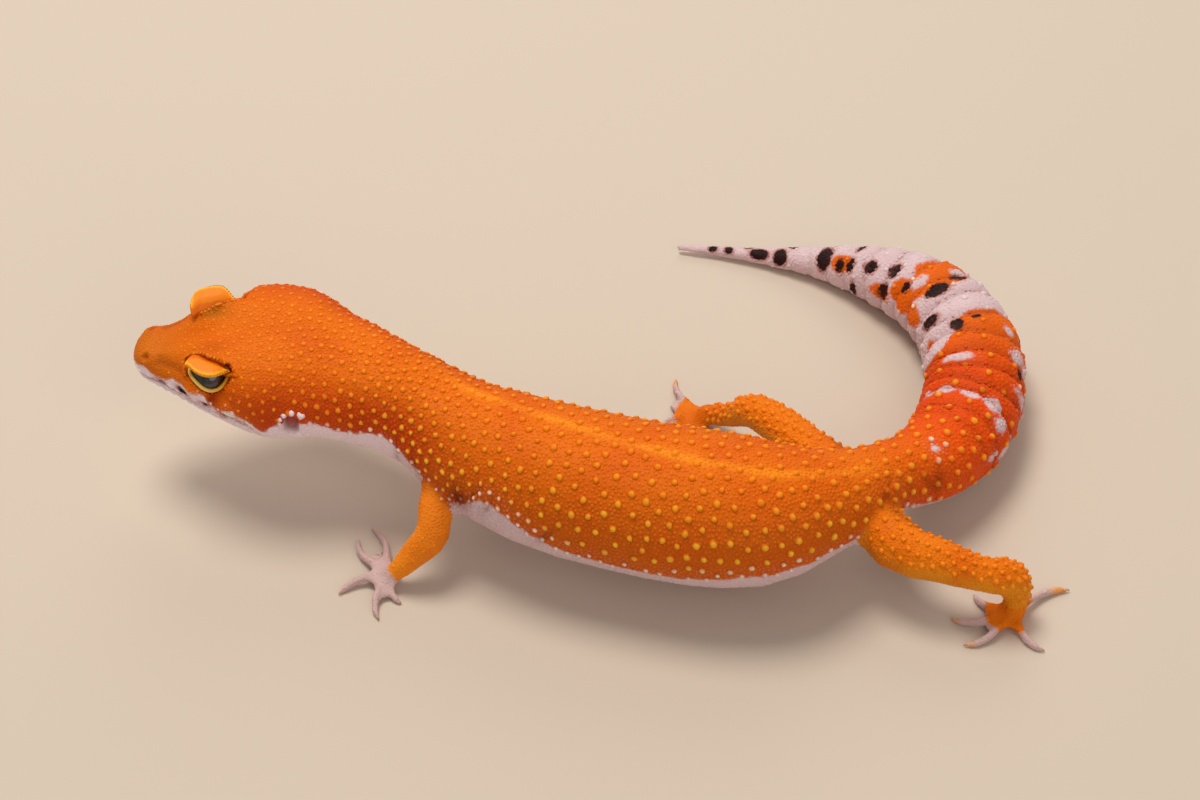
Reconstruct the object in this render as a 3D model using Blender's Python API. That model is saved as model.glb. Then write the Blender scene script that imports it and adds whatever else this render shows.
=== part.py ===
"""Leopard gecko, adult, caught in mid walk: a still, life-size display model.

The animal faces -X with its left side towards -Y. It stands on four feet and on the length of its
tail, each ending in a small flat on the floor, z = 0. Sizes below are in millimetres, and the mesh
builders turn them into metres.
"""

import math

import bmesh
import bpy
from mathutils import Matrix, Vector

MM = 0.001
GAP = 0.3  # between neighbouring pieces
CENTRE = Vector((-0.31, -8.36, 0.0))  # middle of the footprint, which becomes the origin

# The head is a straight length that starts at the tip of the snout.
SNOUT = Vector((-70.0, -11.4, 21.3))
HEAD_PITCH = math.radians(1.5)  # snout up
HEAD_YAW = math.radians(3.5)  # snout turned to the right side
HEAD_ROLL = math.radians(8)  # crown leaning to the left side

# Distance behind the snout, half width, rise of the crown, fall of the jaw.
HEAD_SECTIONS = (
    (0.0, 1.5, 1.2, 1.0),
    (0.7, 2.7, 2.3, 1.9),
    (2.2, 3.9, 3.2, 2.9),
    (4.5, 5.0, 3.5, 3.9),
    (7.5, 6.5, 4.5, 4.9),
    (11.0, 8.5, 6.1, 5.9),
    (15.0, 10.6, 7.0, 6.8),
    (19.0, 11.9, 7.7, 7.5),
    (23.5, 12.3, 7.8, 8.2),
)

# Middle of the section, half width, half height: neck, trunk and tail.
BODY_SECTIONS = (
    (-42.6, -14.1, 20.4, 11.5, 7.8),  # back of the head
    (-37.8, -15.7, 19.9, 10.1, 7.7),  # nape
    (-31.8, -18.1, 19.1, 8.7, 7.8),  # neck
    (-26.3, -20.4, 17.7, 8.6, 7.9),
    (-21.0, -23.8, 16.4, 9.3, 8.6),  # shoulders
    (-16.2, -26.4, 15.4, 10.5, 9.6),
    (-6.9, -30.6, 14.6, 11.6, 10.5),  # ribs
    (5.9, -34.4, 14.2, 12.1, 10.7),
    (16.1, -36.4, 14.0, 12.3, 10.7),  # belly
    (24.6, -36.6, 13.7, 11.5, 9.9),
    (33.0, -33.9, 13.0, 8.3, 7.6),  # hips
    (38.5, -31.0, 12.2, 6.8, 6.4),
    (42.6, -27.8, 11.5, 5.7, 5.5),  # root of the tail
    (46.8, -25.0, 10.2, 6.0, 5.8),
    (50.6, -21.4, 9.0, 6.8, 6.4),
    (54.9, -15.0, 7.6, 7.8, 7.1),
    (57.9, -6.8, 7.0, 8.3, 7.2),  # fullest part of the tail
    (58.8, 0.8, 6.9, 8.3, 7.1),
    (58.2, 7.0, 6.6, 8.0, 6.8),
    (56.3, 12.7, 6.3, 7.6, 6.5),
    (52.9, 18.2, 5.8, 6.9, 6.0),
    (47.8, 22.7, 5.1, 5.9, 5.2),
    (41.7, 26.7, 3.9, 4.1, 3.9),
    (35.2, 29.8, 2.7, 2.8, 2.6),
    (27.8, 32.0, 1.7, 1.6, 1.5),
    (20.0, 33.9, 1.2, 0.95, 0.9),
    (12.9, 35.0, 1.1, 0.5, 0.5),  # tip
)
CROWN_SQUARENESS = 2.7  # exponent of the section's upper half in the head
THROAT_SQUARENESS = 2.3
BODY_SQUARENESS = 2.1
BEND_REACH = 0.5  # share of a section over which the body's direction is taken
NECK_SECTIONS = 4  # over which the lean of the head dies out

# Names of the lengths of the body, the place where each one ends (counted in sections from the
# snout), the sides of its rings and the number of rings.
LENGTHS = (
    ("head", 9.5, 26, 21),
    ("neck", 12.2, 22, 5),
    ("trunk", 20.9, 22, 17),
    ("tail_1", 23.4, 16, 6),
    ("tail_2", 25.5, 16, 6),
    ("tail_3", 27.6, 16, 6),
    ("tail_4", 29.8, 16, 6),
    ("tail_5", 32.0, 14, 6),
    ("tail_6", 35.0, 10, 7),
)

# Swellings and hollows of the head: distance behind the snout, distance to the side, height,
# reach, push. Each one is made on both sides.
HEAD_FORMS = (
    (1.9, 2.6, 2.2, 1.7, 0.35),  # round the nostril
    (6.0, 4.6, 2.8, 2.2, -0.30),  # in front of the eye
    (9.5, 0.0, 5.6, 3.2, -0.45),  # between the eyes
    (17.0, 8.5, 6.0, 5.0, 0.45),  # temple
    (23.5, 10.5, -1.0, 6.0, 0.40),  # jaw muscle
    (15.5, 8.8, -1.8, 3.0, -0.35),  # behind the corner of the eye
    (12.4, 5.8, 4.8, 4.6, 0.80),  # over the eye
)

EYE = (12.0, 5.6, 3.2)  # behind the snout, to the side, up
EYE_RADIUS = 3.0
LID_THICKNESS = 0.6
BROW = (12.0, 6.0, 6.1)  # the shelf of the upper lid
BROW_SIZE = (3.8, 2.8, 0.75)
BROW_RISE = math.radians(12)  # of its outer edge
LID_OPENING = 2.9  # half the length of the almond between the lids
LID_CORNERS = 0.9  # their height above the middle of the eye
LID_OPENING_RISE = 1.45  # from the corners to the top of the almond
LID_OPENING_FALL = 1.1  # from the corners to its bottom
LID_OPENING_SIDES = 18
EAR = (25.2, 0.4)  # behind the snout, up; it lies where the side of the head is
EAR_SIZE = (1.0, 1.7, 1.9)
EARDRUM_SIZE = (0.62, 0.35, 1.35)
EARDRUM_DEPTH = 1.0

HEAD_REACH = 20.0  # to the side, past the whole head
# The mouth line in side view, behind the snout and up, from the lips to the corner and down.
MOUTH_LINE = (
    (-2.0, -0.7), (2.0, -0.9), (7.0, -1.1), (12.0, -1.2), (15.5, -1.0), (18.5, -1.6), (20.4, -3.4),
    (21.2, -12.0),
)

# Each limb: its middle line with a radius at each point. The joints are the third and the last
# but one point; the first lies inside the body.
LIMBS = {
    "front_left": ((-21.6, -25.0, 15.4, 2.7), (-24.2, -31.4, 12.2, 2.5), (-24.6, -36.2, 8.7, 2.75),
                   (-27.4, -37.9, 5.8, 2.25), (-30.2, -38.8, 2.9, 1.6), (-31.4, -38.2, 1.5, 1.4)),
    "front_right": ((-18.5, -19.0, 15.0, 2.6), (-15.0, -14.8, 13.0, 2.3), (-11.6, -11.8, 10.2, 2.5),
                    (-11.2, -9.8, 6.4, 2.1), (-11.9, -7.8, 3.1, 1.6), (-12.5, -6.6, 1.5, 1.4)),
    "hind_left": ((38.0, -32.0, 11.6, 4.4), (43.5, -40.2, 10.1, 4.1), (49.2, -43.2, 10.2, 3.4),
                  (55.4, -44.9, 9.1, 2.8), (60.0, -44.4, 7.4, 2.9), (61.0, -45.2, 3.3, 1.9),
                  (60.6, -45.8, 1.6, 1.6)),
    "hind_right": ((37.0, -29.0, 11.8, 4.3), (32.6, -23.4, 11.0, 3.9), (28.4, -17.2, 10.4, 3.3),
                   (23.8, -11.9, 9.4, 2.9), (20.4, -8.9, 5.6, 2.0), (17.2, -6.0, 2.7, 1.8),
                   (16.2, -5.2, 1.5, 1.6)),
}

# Each foot: middle of the palm, its size along and across and up, its heading in degrees, then
# for each digit its bearing in degrees, its length from the middle of the palm and its curl.
FEET = {
    "front_left": ((-31.7, -38.0, 0.95), (1.9, 1.8, 1.15), 195,
                   ((94, 10.2, 12), (136, 8.9, -14), (193, 7.5, 10), (251, 7.9, 12), (282, 5.2, 12))),
    "front_right": ((-12.9, -6.2, 0.95), (1.9, 1.9, 1.2), 120,
                    ((34, 6.2, 12), (74, 7.6, 10), (112, 8.4, -10), (150, 7.8, -12), (190, 6.4, -14))),
    "hind_left": ((60.4, -45.8, 1.05), (2.2, 2.0, 1.3), 262,
                  ((152, 6.6, -14), (195, 8.6, -14), (230, 8.8, -14), (290, 7.4, 14), (41, 10.6, -10))),
    "hind_right": ((15.6, -4.8, 1.05), (2.2, 2.0, 1.3), 160,
                   ((123, 9.6, -12), (154, 5.2, -8), (187, 6.8, 10), (226, 6.6, 12), (264, 5.8, 12))),
}
DIGIT_RADII = (0.95, 0.82, 0.8, 0.72, 0.6, 0.3)  # root to tip, then the claw
DIGIT_HEIGHTS = (1.2, 1.4, 0.95, 0.62, 0.52, 0.34)
DIGIT_PLACES = (0.0, 0.3, 0.58, 0.8, 0.9, 1.0)  # share of the length
DIGIT_SIDES = 6
LEG_SIDES = 10

SKIN_ORANGE = (0.86, 0.20, 0.012)
TAIL_PALE = (0.62, 0.50, 0.50)
PALM_PINK = (0.60, 0.42, 0.40)
LIP_PALE = (0.52, 0.38, 0.40)
EYE_DARK = (0.02, 0.012, 0.012)
DRUM_PINK = (0.45, 0.18, 0.16)


def catmull(rows, place):
    """The row of numbers at a place counted in rows, on a smooth curve through all of them."""
    last = len(rows) - 1
    i = min(int(place), last - 1)
    f = place - i
    before, start, end, after = (rows[max(0, min(last, j))] for j in (i - 1, i, i + 1, i + 2))
    row = []
    for a, b, c, d in zip(before, start, end, after):
        row.append(b + 0.5 * f * (c - a + f * (2 * a - 5 * b + 4 * c - d + f * (3 * (b - c) + d - a))))
    return row


def curved(value, exponent):
    return math.copysign(abs(value) ** (2 / exponent), value)


def head_axes():
    """Backwards, to the left side and up in the head."""
    turn = Matrix.Rotation(-HEAD_YAW, 3, "Z") @ Matrix.Rotation(HEAD_PITCH, 3, "Y")
    back = turn @ Vector((1, 0, 0))
    roll = Matrix.Rotation(HEAD_ROLL, 3, back)
    return back, roll @ turn @ Vector((0, -1, 0)), roll @ turn @ Vector((0, 0, 1))


BACK, SIDE, UP = head_axes()


def in_head(behind, aside, height):
    return SNOUT + BACK * behind + SIDE * aside + UP * height


def body_rows():
    """Middle, half width, rise, fall, roll and squareness of every section from snout to tail tip."""
    rows = []
    for behind, half, rise, fall in HEAD_SECTIONS:
        middle = in_head(behind, 0, 0)
        rows.append((*middle, half, rise, fall, HEAD_ROLL, CROWN_SQUARENESS, THROAT_SQUARENESS))
    for i, (x, y, z, half, height) in enumerate(BODY_SECTIONS):
        roll = HEAD_ROLL * max(0.0, 0.8 - i / NECK_SECTIONS)
        rows.append((x, y, z, half, height, height, roll, BODY_SQUARENESS, BODY_SQUARENESS))
    return rows


ROWS = body_rows()


def ring_of_body(place, sides, grow=0.0):
    """Points of the section at a place, with the middle and the direction of the body there."""
    x, y, z, half, rise, fall, roll, crown, throat = catmull(ROWS, place)
    middle = Vector((x, y, z))
    ahead = Vector(catmull(ROWS, min(place + BEND_REACH, len(ROWS) - 1))[:3])
    along = (ahead - Vector(catmull(ROWS, max(place - BEND_REACH, 0))[:3])).normalized()
    across = Vector((0, 0, 1)).cross(along).normalized() * -1
    up = along.cross(across) * -1
    turn = Matrix.Rotation(roll, 3, along)
    across = turn @ across
    up = turn @ up
    ring = []
    for i in range(sides):
        angle = math.tau * (i + 0.5) / sides
        exponent = crown if math.sin(angle) > 0 else throat
        reach = rise if math.sin(angle) > 0 else fall
        aside = (half + grow) * curved(math.cos(angle), exponent)
        height = (reach + grow) * curved(math.sin(angle), exponent)
        ring.append(middle + across * aside + up * height)
    return ring, middle, along


def mesh_object(name, rings, tips=(None, None), colour=SKIN_ORANGE):
    """A closed loft over rings of equal counts; an end is flat unless it is given a tip point."""
    tips = [tip or sum(ring, Vector()) / len(ring) for tip, ring in zip(tips, (rings[0], rings[-1]))]
    mesh = bmesh.new()
    lines = [[mesh.verts.new(point * MM) for point in ring] for ring in rings]
    for low, high in zip(lines, lines[1:]):
        for i in range(len(low)):
            j = (i + 1) % len(low)
            mesh.faces.new((low[i], low[j], high[j], high[i]))
    for line, tip in ((lines[0], tips[0]), (lines[-1], tips[1])):
        point = mesh.verts.new(tip * MM)
        for i in range(len(line)):
            mesh.faces.new((line[i], line[(i + 1) % len(line)], point))
    return finished(name, mesh, colour)


def turn_outward(mesh):
    """Faces the closed mesh outwards all round."""
    bmesh.ops.recalc_face_normals(mesh, faces=mesh.faces)
    if mesh.calc_volume(signed=True) < 0:
        bmesh.ops.reverse_faces(mesh, faces=mesh.faces)


def finished(name, mesh, colour):
    turn_outward(mesh)
    data = bpy.data.meshes.new(name)
    mesh.to_mesh(data)
    mesh.free()
    made = bpy.data.objects.new(name, data)
    bpy.context.scene.collection.objects.link(made)
    paint(made, colour)
    return made


def paint(made, colour, roughness=0.55):
    material = bpy.data.materials.new(made.name)
    material.use_nodes = True
    shader = material.node_tree.nodes["Principled BSDF"]
    shader.inputs["Base Color"].default_value = (*colour, 1)
    shader.inputs["Roughness"].default_value = roughness
    shader.inputs["Metallic"].default_value = 0.0
    made.data.materials.clear()
    made.data.materials.append(material)
    made.data.shade_smooth()
    made.data.set_sharp_from_angle(angle=math.radians(50))


def helper(made):
    made.hide_render = True
    made.display_type = "WIRE"
    return made


def combine(made, others, operation):
    """Applies a Boolean with each of the others, and removes them."""
    for other in others:
        modifier = made.modifiers.new(operation.lower(), "BOOLEAN")
        modifier.operation = operation
        modifier.object = helper(other)
    bpy.context.view_layer.update()
    graph = bpy.context.evaluated_depsgraph_get()
    data = bpy.data.meshes.new_from_object(made.evaluated_get(graph))
    made.modifiers.clear()
    made.data = data
    for other in others:
        bpy.data.objects.remove(other)


def slice_off(made, point, direction):
    """Cuts away what lies beyond a plane, and closes the cut flat."""
    mesh = bmesh.new()
    mesh.from_mesh(made.data)
    found = mesh.verts[:] + mesh.edges[:] + mesh.faces[:]
    cut = bmesh.ops.bisect_plane(
        mesh, geom=found, dist=1e-7, plane_co=point * MM, plane_no=direction, clear_outer=True
    )
    edges = [item for item in cut["geom_cut"] if isinstance(item, bmesh.types.BMEdge)]
    if edges:
        bmesh.ops.holes_fill(mesh, edges=[edge for edge in mesh.edges if edge.is_boundary], sides=0)
        turn_outward(mesh)
    mesh.to_mesh(made.data)
    mesh.free()


def ellipsoid(name, middle, axes, sizes, detail=(12, 8), colour=SKIN_ORANGE):
    """A ball stretched along three given directions."""
    mesh = bmesh.new()
    bmesh.ops.create_uvsphere(mesh, u_segments=detail[0], v_segments=detail[1], radius=1.0)
    frame = Matrix([axis * size * MM for axis, size in zip(axes, sizes)]).transposed()
    for vertex in mesh.verts:
        vertex.co = frame @ vertex.co + middle * MM
    return finished(name, mesh, colour)


def tube(name, rows, start, end, sides, steps, tips=(None, None), colour=SKIN_ORANGE):
    """A round limb over rows of x, y, z and radius, from one place to another on their curve."""
    rings = []
    across = None
    for step in range(steps + 1):
        place = start + (end - start) * step / steps
        x, y, z, radius = catmull(rows, place)
        ahead = Vector(catmull(rows, min(place + 0.02, len(rows) - 1))[:3])
        along = (ahead - Vector(catmull(rows, max(place - 0.02, 0))[:3])).normalized()
        across = along.orthogonal() if across is None else across
        across = (across - along * across.dot(along)).normalized()
        third = along.cross(across)
        turns = (math.tau * (i + 0.5) / sides for i in range(sides))
        middle = Vector((x, y, z))
        rings.append([middle + (across * math.cos(a) + third * math.sin(a)) * radius for a in turns])
    return mesh_object(name, rings, tips, colour)


def shaped_head(point):
    """A point of the head's loft, moved by the swellings and hollows."""
    place = point - SNOUT
    behind, aside, height = place.dot(BACK), place.dot(SIDE), place.dot(UP)
    outward = (SIDE * aside + UP * height).normalized()
    moved = point.copy()
    for form_behind, form_aside, form_height, reach, push in HEAD_FORMS:
        apart = Vector((behind - form_behind, abs(aside) - form_aside, height - form_height))
        moved += outward * push * math.exp(-((apart.length / reach) ** 2))
    return moved


def make_lengths():
    """Head, neck, trunk and lengths of tail, each one parted from the next by a thin gap."""
    start = 0.0
    for name, end, sides, count in LENGTHS:
        places = [start + (end - start) * i / count for i in range(count + 1)]
        rings, middles, alongs = zip(*(ring_of_body(place, sides) for place in places))
        rings = [list(ring) for ring in rings]
        if name != "head":
            rings[0] = [point + alongs[0] * GAP / 2 for point in rings[0]]
        if name != "tail_6":
            rings[-1] = [point - alongs[-1] * GAP / 2 for point in rings[-1]]
        if name == "head":
            rings = [[shaped_head(point) for point in ring] for ring in rings]
        tips = (
            middles[0] - alongs[0] * 0.35 if name == "head" else None,
            middles[-1] + alongs[-1] * 0.3 if name == "tail_6" else None,
        )
        colour = TAIL_PALE if name in ("tail_5", "tail_6") else SKIN_ORANGE
        made = mesh_object(name, rings, tips, colour)
        if name.startswith("tail"):
            slice_off(made, Vector((0, 0, 0)), Vector((0, 0, -1)))
        start = end


def make_face():
    """Lids, eyes, ears and the mouth, which parts the lower jaw from the head."""
    head = bpy.data.objects["head"]
    joined = []
    cut = []
    for side, sign in (("left", 1), ("right", -1)):
        axes = (BACK, SIDE * sign, UP)
        eye = in_head(EYE[0], sign * EYE[1], EYE[2])
        lid = EYE_RADIUS + GAP + LID_THICKNESS
        joined.append(ellipsoid("lids", eye, axes, (lid,) * 3, (20, 12)))
        rise = Matrix.Rotation(-BROW_RISE * sign, 3, BACK)
        shelf = (BACK, rise @ SIDE * sign, rise @ UP)
        brow = in_head(BROW[0], sign * BROW[1], BROW[2])
        joined.append(ellipsoid("brow", brow, shelf, BROW_SIZE, (20, 6)))
        socket = EYE_RADIUS + GAP
        cut.append(ellipsoid("socket", eye, axes, (socket,) * 3, (16, 10)))
        cut.append(lid_opening(eye, SIDE * sign))
        ear = on_side_of_head(head, sign)
        cut.append(ellipsoid("ear_pit", ear, axes, EAR_SIZE, (10, 6)))
        ellipsoid("eye_" + side, eye, axes, (EYE_RADIUS,) * 3, (14, 10), EYE_DARK)
        drum = ear - SIDE * sign * EARDRUM_DEPTH
        ellipsoid("ear_" + side, drum, axes, EARDRUM_SIZE, (10, 6), DRUM_PINK)
    combine(head, joined, "UNION")
    combine(head, cut, "DIFFERENCE")
    combine(head, [mouth_cutter()], "DIFFERENCE")
    part_jaw(head)


def lid_opening(eye, outward):
    """An almond prism from inside the eye out past its lids."""
    profile = []
    for i in range(LID_OPENING_SIDES):
        angle = math.tau * i / LID_OPENING_SIDES
        reach = LID_OPENING_RISE if math.sin(angle) > 0 else LID_OPENING_FALL
        profile.append((LID_OPENING * math.cos(angle), LID_CORNERS + reach * math.sin(angle)))
    rings = []
    for reach in (1.0, 7.0):
        rings.append([eye + outward * reach + BACK * x + UP * z for x, z in profile])
    return mesh_object("opening", rings)


def on_side_of_head(head, sign):
    """The point of the head's surface at the height of the ear, left (1) or right (-1)."""
    inside = in_head(EAR[0], 0, EAR[1])
    found, place, _, _ = head.ray_cast(inside * MM, SIDE * sign)
    return place / MM


def mouth_cutter():
    """A thin bent wall that follows the mouth line through the whole head."""
    rings = []
    for i, (behind, height) in enumerate(MOUTH_LINE):
        ahead = Vector(MOUTH_LINE[min(i + 1, len(MOUTH_LINE) - 1)])
        along = (ahead - Vector(MOUTH_LINE[max(i - 1, 0)])).normalized()
        off = Vector((-along.y, along.x)) * GAP / 2
        corners = ((-1, 1), (1, 1), (1, -1), (-1, -1))
        rings.append([
            in_head(behind + off.x * above, HEAD_REACH * aside, height + off.y * above)
            for aside, above in corners
        ])
    return mesh_object("mouth", rings)


def part_jaw(head):
    """Takes the piece under the mouth line off the head as the lower jaw."""
    mesh = bmesh.new()
    mesh.from_mesh(head.data)
    jaw = bmesh.new()
    jaw.from_mesh(head.data)
    for body, keep_low in ((mesh, False), (jaw, True)):
        left = set(body.verts)
        while left:
            island = []
            edge = [left.pop()]
            while edge:
                vertex = edge.pop()
                island.append(vertex)
                for link in vertex.link_edges:
                    other = link.other_vert(vertex)
                    if other in left:
                        left.discard(other)
                        edge.append(other)
            top = max((vertex.co / MM - SNOUT).dot(UP) for vertex in island)
            if (top < 2.0) != keep_low:
                bmesh.ops.delete(body, geom=island, context="VERTS")
    mesh.to_mesh(head.data)
    mesh.free()
    finished("lower_jaw", jaw, LIP_PALE)


def make_foot(name, rows, wrist):
    """The palm or sole with its five digits, each one ending in a claw, flat underneath."""
    middle, sizes, heading, digits = FEET[name]
    middle = Vector(middle)
    ahead = Vector((math.cos(math.radians(heading)), math.sin(math.radians(heading)), 0))
    axes = (ahead, Vector((-ahead.y, ahead.x, 0)), Vector((0, 0, 1)))
    foot = tube(name + "_foot", rows, wrist - 0.2, len(rows) - 1, 10, 3, colour=PALM_PINK)
    joined = [ellipsoid("palm", middle, axes, sizes, (12, 6))]
    for bearing, length, curl in digits:
        joined.append(make_digit(middle, bearing, length, curl))
    combine(foot, joined, "UNION")
    x, y, z, _ = catmull(rows, wrist)
    ahead = Vector(catmull(rows, wrist + 0.02)[:3]) - Vector(catmull(rows, wrist - 0.02)[:3])
    along = ahead.normalized()
    slice_off(foot, Vector((x, y, z)) + along * GAP / 2, -along)
    slice_off(foot, Vector((0, 0, 0)), Vector((0, 0, -1)))
    paint(foot, PALM_PINK)


def make_digit(middle, bearing, length, curl):
    rows = []
    for place, height, radius in zip(DIGIT_PLACES, DIGIT_HEIGHTS, DIGIT_RADII):
        angle = math.radians(bearing + curl * (place - 0.5) * 2 * place)
        reach = 0.8 + (length - 0.8) * place
        point = middle + Vector((math.cos(angle), math.sin(angle), 0)) * reach
        rows.append((point.x, point.y, height, radius))
    along = Vector(rows[-1][:3]) - Vector(rows[-2][:3])
    tip = Vector(rows[-1][:3]) + along.normalized() * 0.25
    return tube("digit", rows, 0, len(rows) - 1, DIGIT_SIDES, 5, (None, tip), PALM_PINK)


def make_legs():
    """Upper and lower leg and foot of each limb; the upper leg stops just short of the body."""
    for name, rows in LIMBS.items():
        knee = 2.0 if name.startswith("front") else 3.0
        wrist = len(rows) - 2.0
        for piece, start, end, steps in (("upper", 0.0, knee, 6), ("lower", knee, wrist, 6)):
            first = start + (0 if piece == "upper" else GAP / 2 / spacing(rows, start))
            last = end - GAP / 2 / spacing(rows, end - 1)
            leg = tube(name + "_" + piece, rows, first, last, LEG_SIDES, steps)
            if piece == "upper":
                combine(leg, [grown_body()], "DIFFERENCE")
        make_foot(name, rows, wrist)


def spacing(rows, place):
    i = int(place)
    return (Vector(rows[i + 1][:3]) - Vector(rows[i][:3])).length


def grown_body():
    """Neck, trunk and root of the tail, thicker all round by the gap that the legs keep to them."""
    places = [11 + (23 - 11) * i / 40 for i in range(41)]
    return mesh_object("grown", [ring_of_body(place, 24, GAP)[0] for place in places])


def main():
    for made in list(bpy.data.objects):
        bpy.data.objects.remove(made)
    make_lengths()
    make_face()
    make_legs()
    for made in bpy.data.objects:
        made.data.transform(Matrix.Translation(-CENTRE * MM))


main()
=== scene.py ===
import math

import bmesh
import bpy
import numpy as np
from mathutils import Matrix, Vector
from mathutils.bvhtree import BVHTree
from mathutils.kdtree import KDTree


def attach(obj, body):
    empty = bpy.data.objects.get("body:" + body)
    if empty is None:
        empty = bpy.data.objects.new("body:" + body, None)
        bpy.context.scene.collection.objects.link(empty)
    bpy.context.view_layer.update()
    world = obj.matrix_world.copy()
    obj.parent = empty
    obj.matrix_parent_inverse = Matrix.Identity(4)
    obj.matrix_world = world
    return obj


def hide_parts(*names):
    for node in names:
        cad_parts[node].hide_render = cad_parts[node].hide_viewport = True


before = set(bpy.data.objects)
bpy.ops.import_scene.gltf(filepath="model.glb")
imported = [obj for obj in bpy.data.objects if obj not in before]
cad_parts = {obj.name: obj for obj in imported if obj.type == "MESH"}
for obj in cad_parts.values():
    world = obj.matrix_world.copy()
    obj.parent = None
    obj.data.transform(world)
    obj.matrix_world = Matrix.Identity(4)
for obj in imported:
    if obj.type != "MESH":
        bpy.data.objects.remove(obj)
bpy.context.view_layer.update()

MM = 0.001

# Studio. A pale floor, three broad soft lamps and the camera, which stands on the animal's left side
# and looks down at 45 degrees through an 85 mm lens.
CENTRE = Vector((-0.31, -8.36, 0.0))  # of the footprint, in the body's own measuring frame
VIEW_RISE = math.radians(45)
VIEW_DISTANCE = 449.7
view_axis = Vector((0, -math.cos(VIEW_RISE), math.sin(VIEW_RISE)))
lens = bpy.data.cameras.new("camera")
lens.lens = 85
lens.sensor_width = 36
lens.clip_start = 0.01
camera = bpy.data.objects.new("camera", lens)
camera.location = (view_axis * VIEW_DISTANCE - CENTRE) * MM
camera.rotation_euler = view_axis.to_track_quat("Z", "Y").to_euler()
bpy.context.scene.collection.objects.link(camera)
bpy.context.scene.camera = camera


def plain_material(name, colour, roughness):
    made = bpy.data.materials.new(name)
    made.use_nodes = True
    shader = made.node_tree.nodes["Principled BSDF"]
    shader.inputs["Base Color"].default_value = (*colour, 1)
    shader.inputs["Roughness"].default_value = roughness
    return made


floor_mesh = bpy.data.meshes.new("floor")
floor_mesh.from_pydata([(-2, -2, 0), (2, -2, 0), (2, 2, 0), (-2, 2, 0)], [], [(0, 1, 2, 3)])
floor_mesh.materials.append(plain_material("pale floor", (0.64, 0.545, 0.46), 0.85))
floor = bpy.data.objects.new("floor", floor_mesh)
bpy.context.scene.collection.objects.link(floor)

LAMPS = (
    # name, place, size across, watts, colour
    ("key", (-0.18, 0.22, 0.82), 0.40, 4.9, (1.0, 0.95, 0.86)),
    ("fill", (0.30, -0.65, 0.50), 0.70, 1.5, (1.0, 0.96, 0.90)),
    ("back", (0.10, 0.70, 0.50), 0.60, 1.6, (1.0, 0.96, 0.90)),
)
for name, place, across, watts, colour in LAMPS:
    lamp = bpy.data.lights.new(name, "AREA")
    lamp.shape = "DISK"
    lamp.size = across
    lamp.energy = watts
    lamp.color = colour
    stand = bpy.data.objects.new(name, lamp)
    stand.location = place
    stand.rotation_euler = Vector(place).to_track_quat("Z", "Y").to_euler()
    bpy.context.scene.collection.objects.link(stand)
world = bpy.data.worlds.new("studio")
world.use_nodes = True
world.node_tree.nodes["Background"].inputs["Color"].default_value = (1.0, 0.95, 0.88, 1)
world.node_tree.nodes["Background"].inputs["Strength"].default_value = 0.34
bpy.context.scene.world = world
bpy.context.scene.view_settings.view_transform = "Standard"

# Body plan. The middle line runs from the snout to the tip of the tail and down each limb to its
# toes. Everything on the skin is placed by how far along and how far round that line it lies.
SNOUT = Vector((-70.0, -11.4, 21.3))
HEAD_PITCH = math.radians(1.5)
HEAD_YAW = math.radians(3.5)
HEAD_ROLL = math.radians(8)
HEAD_STATIONS = ((0.0, 2.0, 1.6), (2.2, 3.9, 3.0), (4.5, 5.0, 3.7), (7.5, 6.5, 4.7), (11.0, 8.5, 6.0),
                 (15.0, 10.6, 6.9), (19.0, 11.9, 7.6), (23.5, 12.3, 8.0))  # behind, half width, half depth
BODY_STATIONS = (
    # middle of the neck, trunk or tail, then half its width and half its depth
    (-42.6, -14.1, 20.4, 11.5, 7.8), (-37.8, -15.7, 19.9, 10.1, 7.7), (-31.8, -18.1, 19.1, 8.7, 7.8),
    (-26.3, -20.4, 17.7, 8.6, 7.9), (-21.0, -23.8, 16.4, 9.3, 8.6), (-16.2, -26.4, 15.4, 10.5, 9.6),
    (-6.9, -30.6, 14.6, 11.6, 10.5), (5.9, -34.4, 14.2, 12.1, 10.7), (16.1, -36.4, 14.0, 12.3, 10.7),
    (24.6, -36.6, 13.7, 11.5, 9.9), (33.0, -33.9, 13.0, 8.3, 7.6), (38.5, -31.0, 12.2, 6.8, 6.4),
    (42.6, -27.8, 11.5, 5.7, 5.5), (46.8, -25.0, 10.2, 6.0, 5.8), (50.6, -21.4, 9.0, 6.8, 6.4),
    (54.9, -15.0, 7.6, 7.8, 7.1), (57.9, -6.8, 7.0, 8.3, 7.2), (58.8, 0.8, 6.9, 8.3, 7.1),
    (58.2, 7.0, 6.6, 8.0, 6.8), (56.3, 12.7, 6.3, 7.6, 6.5), (52.9, 18.2, 5.8, 6.9, 6.0),
    (47.8, 22.7, 5.1, 5.9, 5.2), (41.7, 26.7, 3.9, 4.1, 3.9), (35.2, 29.8, 2.7, 2.8, 2.6),
    (27.8, 32.0, 1.7, 1.6, 1.5), (20.0, 33.9, 1.2, 0.95, 0.9), (12.9, 35.0, 1.1, 0.5, 0.5))
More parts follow.
